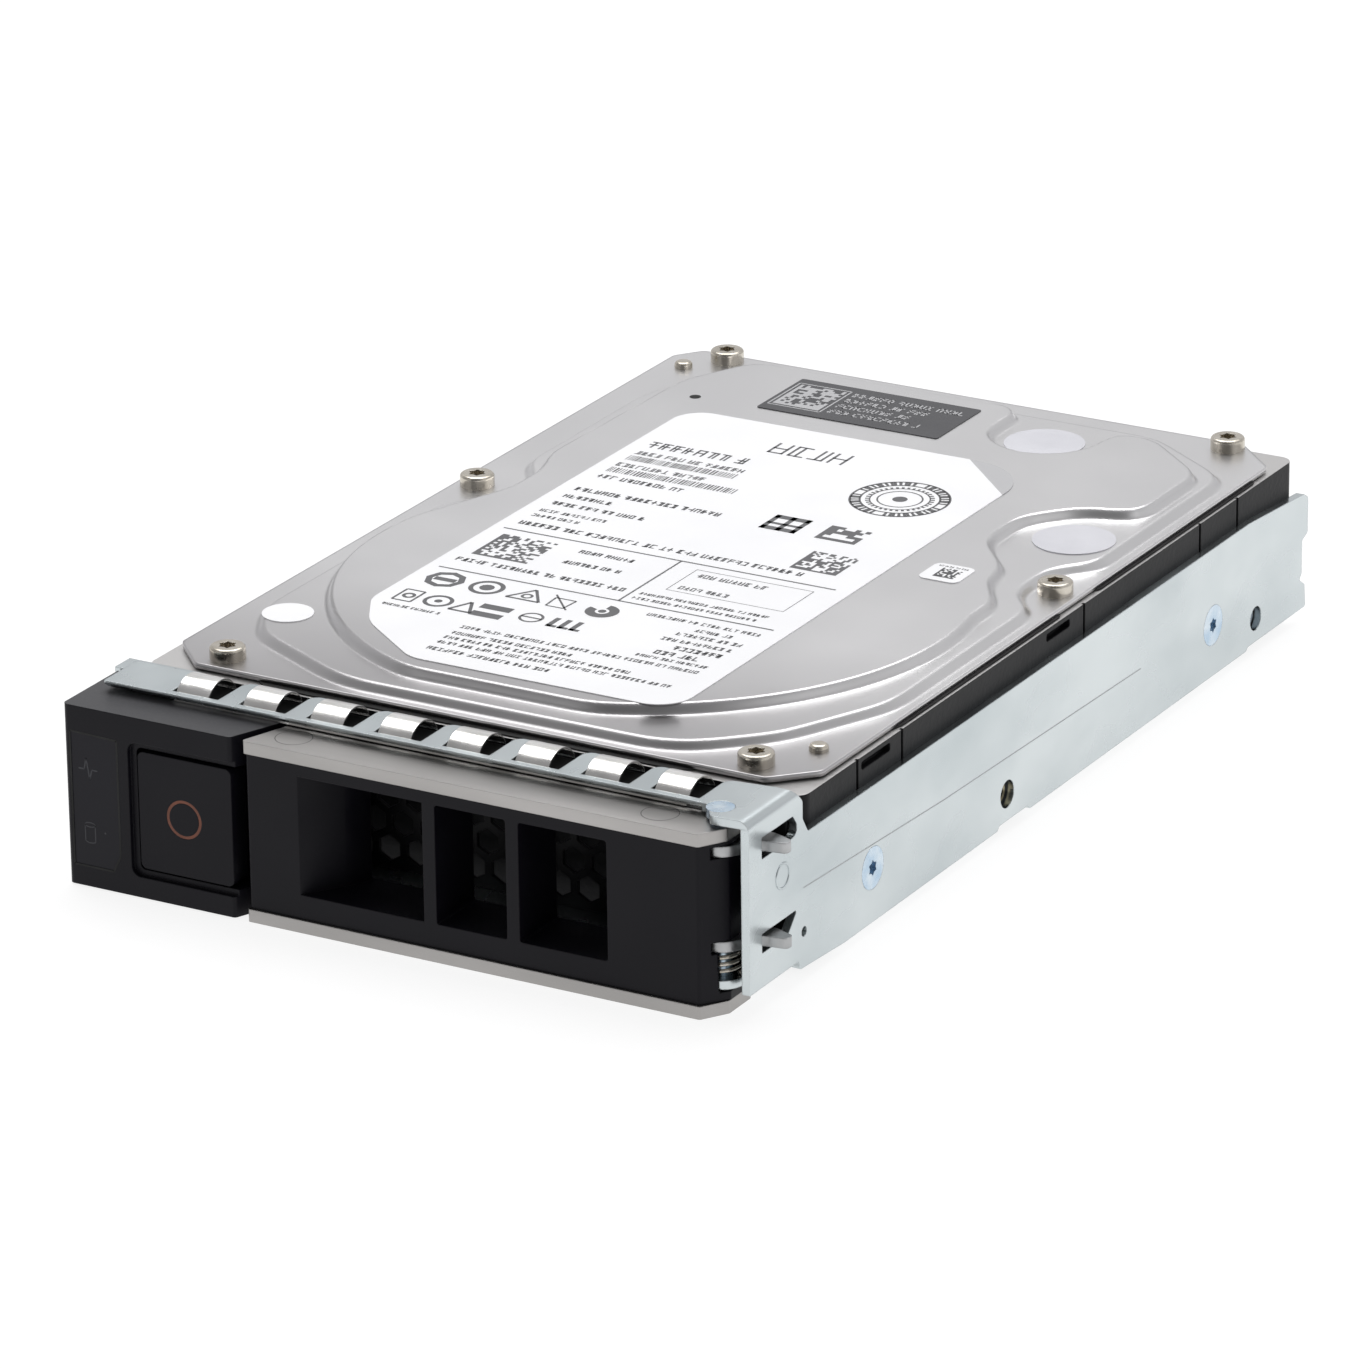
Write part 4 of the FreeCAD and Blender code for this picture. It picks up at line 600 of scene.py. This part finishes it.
def main_label_print(material):
    ink = Print(at(0, 0, level_of("main_label") + SKIN), (1, 0, 0), (0, 1, 0))
    for number, (left, low, right, height, bold) in enumerate((
        (-12.8, 104.6, 0.4, 4.2, 0.07), (-29.2, 98.3, -12.6, 2.5, 0.10),
        (-29.2, 95.0, -11.0, 1.4, 0.12), (-29.2, 89.5, -14.4, 1.4, 0.12), (-29.2, 84.0, -15.2, 1.4, 0.14),
        (-29.2, 77.8, -4.8, 1.4, 0.14), (-29.2, 74.6, -21.4, 1.3, 0.14), (-29.2, 71.3, -14.0, 1.3, 0.14),
        (-29.2, 68.1, -18.2, 1.0, 0.14), (-29.2, 65.9, -21.6, 1.0, 0.14), (-29.2, 62.3, 16.2, 1.4, 0.14),
        (-15.7, 56.0, -7.0, 1.2, 0.15), (-15.7, 51.5, -5.8, 1.2, 0.15), (3.5, 55.3, 14.8, 1.3, 0.12),
        (3.5, 50.2, 11.8, 1.2, 0.12), (-29.5, 45.7, -2.0, 1.3, 0.15), (-0.2, 45.9, 20.6, 0.85, 0.15),
        (-0.2, 44.0, 19.6, 0.85, 0.15), (4.8, 39.3, 23.0, 1.0, 0.14), (13.7, 36.9, 19.4, 1.0, 0.14),
        (12.0, 34.7, 22.6, 1.1, 0.14), (11.0, 32.3, 22.5, 1.1, 0.14), (14.3, 29.7, 21.8, 1.4, 0.16),
        (12.7, 27.3, 20.6, 1.4, 0.15), (11.0, 25.5, 22.0, 0.9, 0.14), (-15.2, 23.3, 22.0, 1.0, 0.14),
        (-15.2, 20.9, 4.2, 1.0, 0.14), (-15.2, 19.0, 14.2, 1.0, 0.14), (-15.2, 17.1, 22.2, 1.0, 0.14),
        (-15.2, 14.5, 4.0, 1.1, 0.14), (-29.5, 26.2, -20.0, 0.8, 0.14),
    )):
        ink.words(left, low, right, height, 100 + number, bold * 1.35)
    ink.bars(-29.2, 92.3, -11.4, 94.3, 1)
    ink.bars(-29.2, 86.8, -8.4, 88.8, 2)
    ink.line(-30, 59.9, 23, 59.9, 0.34)
    ink.line(-30, 42.4, 23, 42.4, 0.34)
    ink.line(-1.3, 42.4, -1.3, 59.9, 0.3)
    ink.path(0.12, (2.3, 49.2), (20.7, 49.2), (20.7, 57.9), (2.3, 57.9), (2.3, 49.2))
    ink.cells(-28.7, 48.8, -19.8, 57.7, 16, 16, 3)
    ink.cells(13.0, 64.7, 20.3, 72.0, 16, 16, 4)
    # two dark tiles
    for low, high in ((76.7, 78.0), (78.9, 79.6), (81.2, 82.5)):
        ink.box(1.4, low, 7.1, high)
    for left, right in ((1.4, 2.2), (3.9, 4.7), (6.3, 7.1)):
        ink.box(left, 76.7, right, 82.5)
    ink.cells(10.3, 76.7, 16.7, 82.2, 8, 6, 5, 0.62)
    round_seal(ink, 13.6, 96.0)
    symbol_rows(ink)
    ink.build("main_label_print", material, "dark_label")


def round_seal(ink, x, y):
    """A generic inspection seal: two bands, a toothed ring and a plain mark."""
    ink.ring(x, y, 6.95, 7.3, sides=64)
    ink.ring(x, y, 5.55, 5.85, sides=64)
    for step in range(60):
        if step % 15 not in (0, 14):
            turn = step * 6 + (step * 37) % 3
            ink.ring(x, y, 5.75, 7.1, turn, turn + 3.9, 2)
    for step in range(36):
        ink.ring(x, y, 4.35, 4.95, step * 10, step * 10 + 5, 1)
    ink.ring(x, y, 4.2, 4.4, sides=48)
    ink.ring(x, y, 3.1, 3.35, sides=48)
    ink.ring(x, y, 0, 1.1, sides=20)


def symbol_rows(ink):
    """Plain symbols in the places of the small marks at the front of the label."""
    ink.ring(-26.5, 38.3, 2.0, 3.0, sides=8)
    ink.box(-28.2, 37.7, -24.8, 38.9)
    ink.ring(-19.8, 38.3, 1.9, 2.6)
    ink.ring(-19.8, 38.3, 0, 1.1, sides=12)
    ink.path(0.45, (-15.8, 36.6), (-13.2, 40.6), (-10.6, 36.6), (-15.8, 36.6))
    ink.ring(-13.2, 38.0, 0.5, 0.9, sides=16)
    ink.path(0.3, (-9.2, 36.2), (-9.4, 39.4), (-6.2, 39.4), (-6.5, 36.2), (-9.2, 36.2))
    ink.line(-9.9, 40.4, -5.8, 35.8, 0.3)
    ink.ring(-1.2, 37.8, 1.0, 2.4, -200, 90)
    ink.ring(-1.2, 37.8, 0, 0.6, sides=12)
    ink.path(0.35, (-29.2, 28.6), (-26.3, 28.6), (-26.3, 32.8), (-29.2, 32.8), (-29.2, 28.6))
    ink.ring(-27.7, 30.7, 0.5, 1.0, sides=16)
    ink.ring(-23.0, 30.7, 1.6, 2.2)
    ink.ring(-23.0, 30.7, 0, 0.6, sides=12)
    ink.path(0.5, (-20.3, 28.8), (-16.9, 28.8), (-18.6, 32.4), (-20.3, 28.8))
    ink.box(-16.9, 31.2, -12.1, 32.9)
    ink.box(-16.9, 28.3, -12.1, 30.0)
    ink.ring(-8.5, 31.2, 1.4, 1.8)
    ink.box(-10.1, 31.0, -6.9, 31.4)
    for left in (-5.4, -3.6, -1.8):
        ink.box(left, 29.4, left + 0.8, 32.8)
        ink.box(left, 29.4, left + 1.6, 30.1)


def side_prints(materials):
    """Light marks on the dark label, and the small code by the middle screw."""
    chalk = Print(at(0, 0, level_of("service_label") + SKIN), (1, 0, 0), (0, 1, 0))
    low_x, low_y = -23.6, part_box("service_label")[0].y / MM - cast_low.y / MM
    chalk.cells(low_x + 1.2, low_y + 2.6, low_x + 8.8, low_y + 11.6, 14, 14, 7)
    chalk.path(0.25, (low_x + 0.7, low_y + 2.1), (low_x + 9.3, low_y + 2.1), (low_x + 9.3, low_y + 12.1),
               (low_x + 0.7, low_y + 12.1), (low_x + 0.7, low_y + 2.1))
    for row, width in enumerate((18.4, 14.6, 12.6, 15.8)):
        chalk.words(low_x + 10.2, low_y + 10.2 - row * 2.55, low_x + 10.2 + width, 1.5, 40 + row, 0.17)
    chalk.build("service_label_print", materials["print_grey"], "white_label")
    ink = Print(at(0, 0, level_of("code_label") + SKIN), (1, 0, 0), (0, 1, 0))
    low_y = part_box("code_label")[0].y / MM - cast_low.y / MM
    ink.cells(32.0, low_y + 1.3, 35.2, low_y + 4.8, 10, 10, 9)
    ink.words(31.0, low_y + 5.2, 35.6, 0.5, 50)
    ink.build("code_label_print", materials["dark_label"], "dark_label")
    # painted shade: a flat black disc on the cover stands in for the shade inside the breather hole, in place
    # of a cut opening
    hole_shade = Print(at(0, 0, level_of("service_label", 0) + SKIN), (1, 0, 0), (0, 1, 0))
    middle = (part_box("breather_filter")[0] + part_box("breather_filter")[1]) / 2 - at(0, 0, 0)
    hole_shade.ring(middle.x / MM, middle.y / MM, 0, 0.85, sides=28)
    hole_shade.build("breather_hole_shade", materials["gasket"], "gasket")


def panel_prints(materials):
    """Faint symbols behind the smoked indicator window, and the groove round it."""
    low, high = ((corner - at(0, 0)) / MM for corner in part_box("indicator_window"))
    glow = Print(at(0, low.y - SKIN, 0), (1, 0, 0), (0, 0, 1))
    x = low.x + 2.7
    glow.path(0.22, (x - 1.5, 14.4), (x - 0.6, 14.4), (x - 0.25, 16.0), (x + 0.25, 13.0), (x + 0.6, 14.4),
              (x + 1.5, 14.4))
    glow.path(0.2, (x - 0.8, 4.1), (x - 0.8, 6.4))
    glow.path(0.2, (x + 0.8, 4.1), (x + 0.8, 6.4))
    for level, first, last in ((6.4, 0, 360), (4.1, 180, 360)):
        turns = [math.radians(first + (last - first) * step / 16) for step in range(17)]
        glow.path(0.2, *[(x + 0.8 * math.cos(turn), level + 0.32 * math.sin(turn)) for turn in turns])
    glow.ring(x + 2.4, 5.6, 0, 0.16, sides=10)
    glow.build("panel_symbols", materials["panel_ink"], "silver_label")
    bezel = (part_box("bezel_housing")[0].y - at(0, 0).y) / MM
    groove = Print(at(0, bezel - SKIN, 0), (1, 0, 0), (0, 0, 1))
    groove.path(0.3, (low.x, low.z), (high.x - 1.2, low.z), (high.x, low.z + 2.3), (high.x, high.z - 0.2),
                (low.x, high.z), (low.x, low.z))
    groove.build("window_groove", materials["gasket"], "gasket")


def seam_marks(materials):
    """Fine joints around the flush rivets of the handle plates."""
    low, high = ((corner - at(0, 0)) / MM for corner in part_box("handle_rivets"))
    radius = (high.y - low.y) / 2
    seam = Print(at(0, 0, high.z + SKIN), (1, 0, 0), (0, 1, 0))
    for x in (low.x + radius, high.x - radius):
        seam.ring(x, low.y + radius, radius - 0.06, radius + 0.06, sides=48)
    seam.build("rivet_seams", materials["seam"], "grip_plate", "handle")


def rail_marks(materials):
    """A faint press line along the right rail, drawn as a thin line of painted shade, and what shows through
    its two locating holes.
    """
    face = (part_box("side_screws")[1].x - at(0, 0).x) / MM
    # painted shade: the press line is a darker strip standing in for the shade along the pressed step
    crease_shade = Print(at(face + SKIN, 0, 0), (0, 1, 0), (0, 0, 1))
    crease_shade.path(0.16, (-2.0, 10.5), (37, 8.85), (95.6, 7.6))
    crease_shade.build("rail_crease_shade", materials["crease_shade"], "zinc_sheet")
    length = (cast_high.y - cast_low.y) / MM
    behind = (cast_high.x - at(0, 0).x) / MM
    for name, y, z, inner, outer, slot in (
        ("rear_hole_pad", length - 14.6, 2.7, 0, 1.45, "zinc_sheet"),
        ("middle_hole_ring", length - 91.7, 3.1, 0.95, 1.5, "nickel_screw"),
    ):
        pad = Print(at(behind + SKIN, 0, 0), (0, 1, 0), (0, 0, 1))
        pad.ring(y, z, inner, outer, sides=32)
        pad.build(name, materials[name], slot)


def pressed_spring():
    """The button's spring, as its own copy of the CAD mesh, fixed to the carrier."""
    spring = add("button_spring_coil", node["button_spring"].data.copy())
    spring.matrix_world = node["button_spring"].matrix_world.copy()
    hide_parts("button_spring")
    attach(spring, "carrier")
    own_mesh(spring)


def finger_shade(materials):
    """A black sheet of painted shade under the contact fingers, which fills the gaps of the comb."""
    low, high = ((corner - at(0, 0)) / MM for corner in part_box("finger_strip"))
    # painted shade: a black sheet under the fingers that darkens the gaps between them
    gap_shade = Print(at(0, 0, low.z - 0.05), (1, 0, 0), (0, 1, 0))
    gap_shade.box(low.x, low.y + 0.1, high.x + 2.2, high.y - 0.2)
    gap_shade.build("finger_gap_shade", materials["gasket"], "gasket")


def torus(name, centre, axis, radius, tube, material, body="carrier"):
    """A ring pressed into sheet metal."""
    turn = Vector(axis).to_track_quat("Z", "Y").to_matrix()
    points, faces, around, section = [], [], 48, 10
    for step in range(around):
        a = 2 * math.pi * step / around
        for corner in range(section):
            b = 2 * math.pi * corner / section
            out = radius + tube * math.cos(b)
            spot = Vector((out * math.cos(a), out * math.sin(a), tube * 0.6 * math.sin(b)))
            points.append(tuple(centre + turn @ (spot * MM)))
            here, beyond = step * section, (step + 1) % around * section
            up = (corner + 1) % section
            faces.append((here + corner, beyond + corner, beyond + up, here + up))
    mesh = bpy.data.meshes.new(name)
    mesh.from_pydata(points, [], faces)
    mesh.polygons.foreach_set("use_smooth", [True] * len(faces))
    mesh.materials.append(material)
    ring = add(name, mesh)
    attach(ring, body)


# ---------------------------------------------------------------- build

bpy.context.scene.view_settings.view_transform = "Standard"
add_camera()
add_world()
add_floor()
add_light("top_box", (-0.15, 0.3, 0.95), (0, 0, 0), (1.1, 0.8), 8.3)
add_light("front_box", (-0.55, -0.9, 0.55), (0, -0.05, 0.01), (0.7, 0.5), 0.45)
add_light("right_box", (0.9, -0.2, 0.5), (0.05, 0, 0.01), (0.6, 0.6), 0.35)

materials = make_materials()
for name, make, dark, light, low_rough, high_rough, size in (
    ("panel_ink", dull, (0.026, 0.026, 0.032), (0.036, 0.036, 0.044), 0.5, 0.6, 12),
    ("print_ink", dull, (0.10, 0.10, 0.105), (0.13, 0.13, 0.135), 0.4, 0.5, 8),
    ("print_grey", dull, (0.44, 0.44, 0.45), (0.52, 0.52, 0.53), 0.4, 0.5, 8),
    # the crease colour is painted shade for the press line on the rail
    ("crease_shade", dull, (0.36, 0.38, 0.39), (0.44, 0.46, 0.47), 0.4, 0.5, 8),
    ("rear_hole_pad", dull, (0.34, 0.40, 0.46), (0.44, 0.50, 0.56), 0.3, 0.4, 1),
    ("middle_hole_ring", metal, (0.40, 0.33, 0.20), (0.52, 0.44, 0.28), 0.3, 0.4, 1),
    ("seam", dull, (0.09, 0.088, 0.085), (0.13, 0.125, 0.12), 0.5, 0.6, 12),
):
    materials[name] = make(name, dark, light, low_rough, high_rough, size=size, edge=0)
dress_frame(materials)
cover_skin(materials["cover_steel"])
main_label_print(materials["print_ink"])
side_prints(materials)
panel_prints(materials)
seam_marks(materials)
rail_marks(materials)
finger_shade(materials)
pressed_spring()
rail_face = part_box("carrier_frame")[1].x
torus("post_emboss", Vector((rail_face, at(0, -7.5).y, at(0, 0, 14.2).z)), (1, 0, 0), 1.7, 0.2,
      materials["zinc_sheet"])
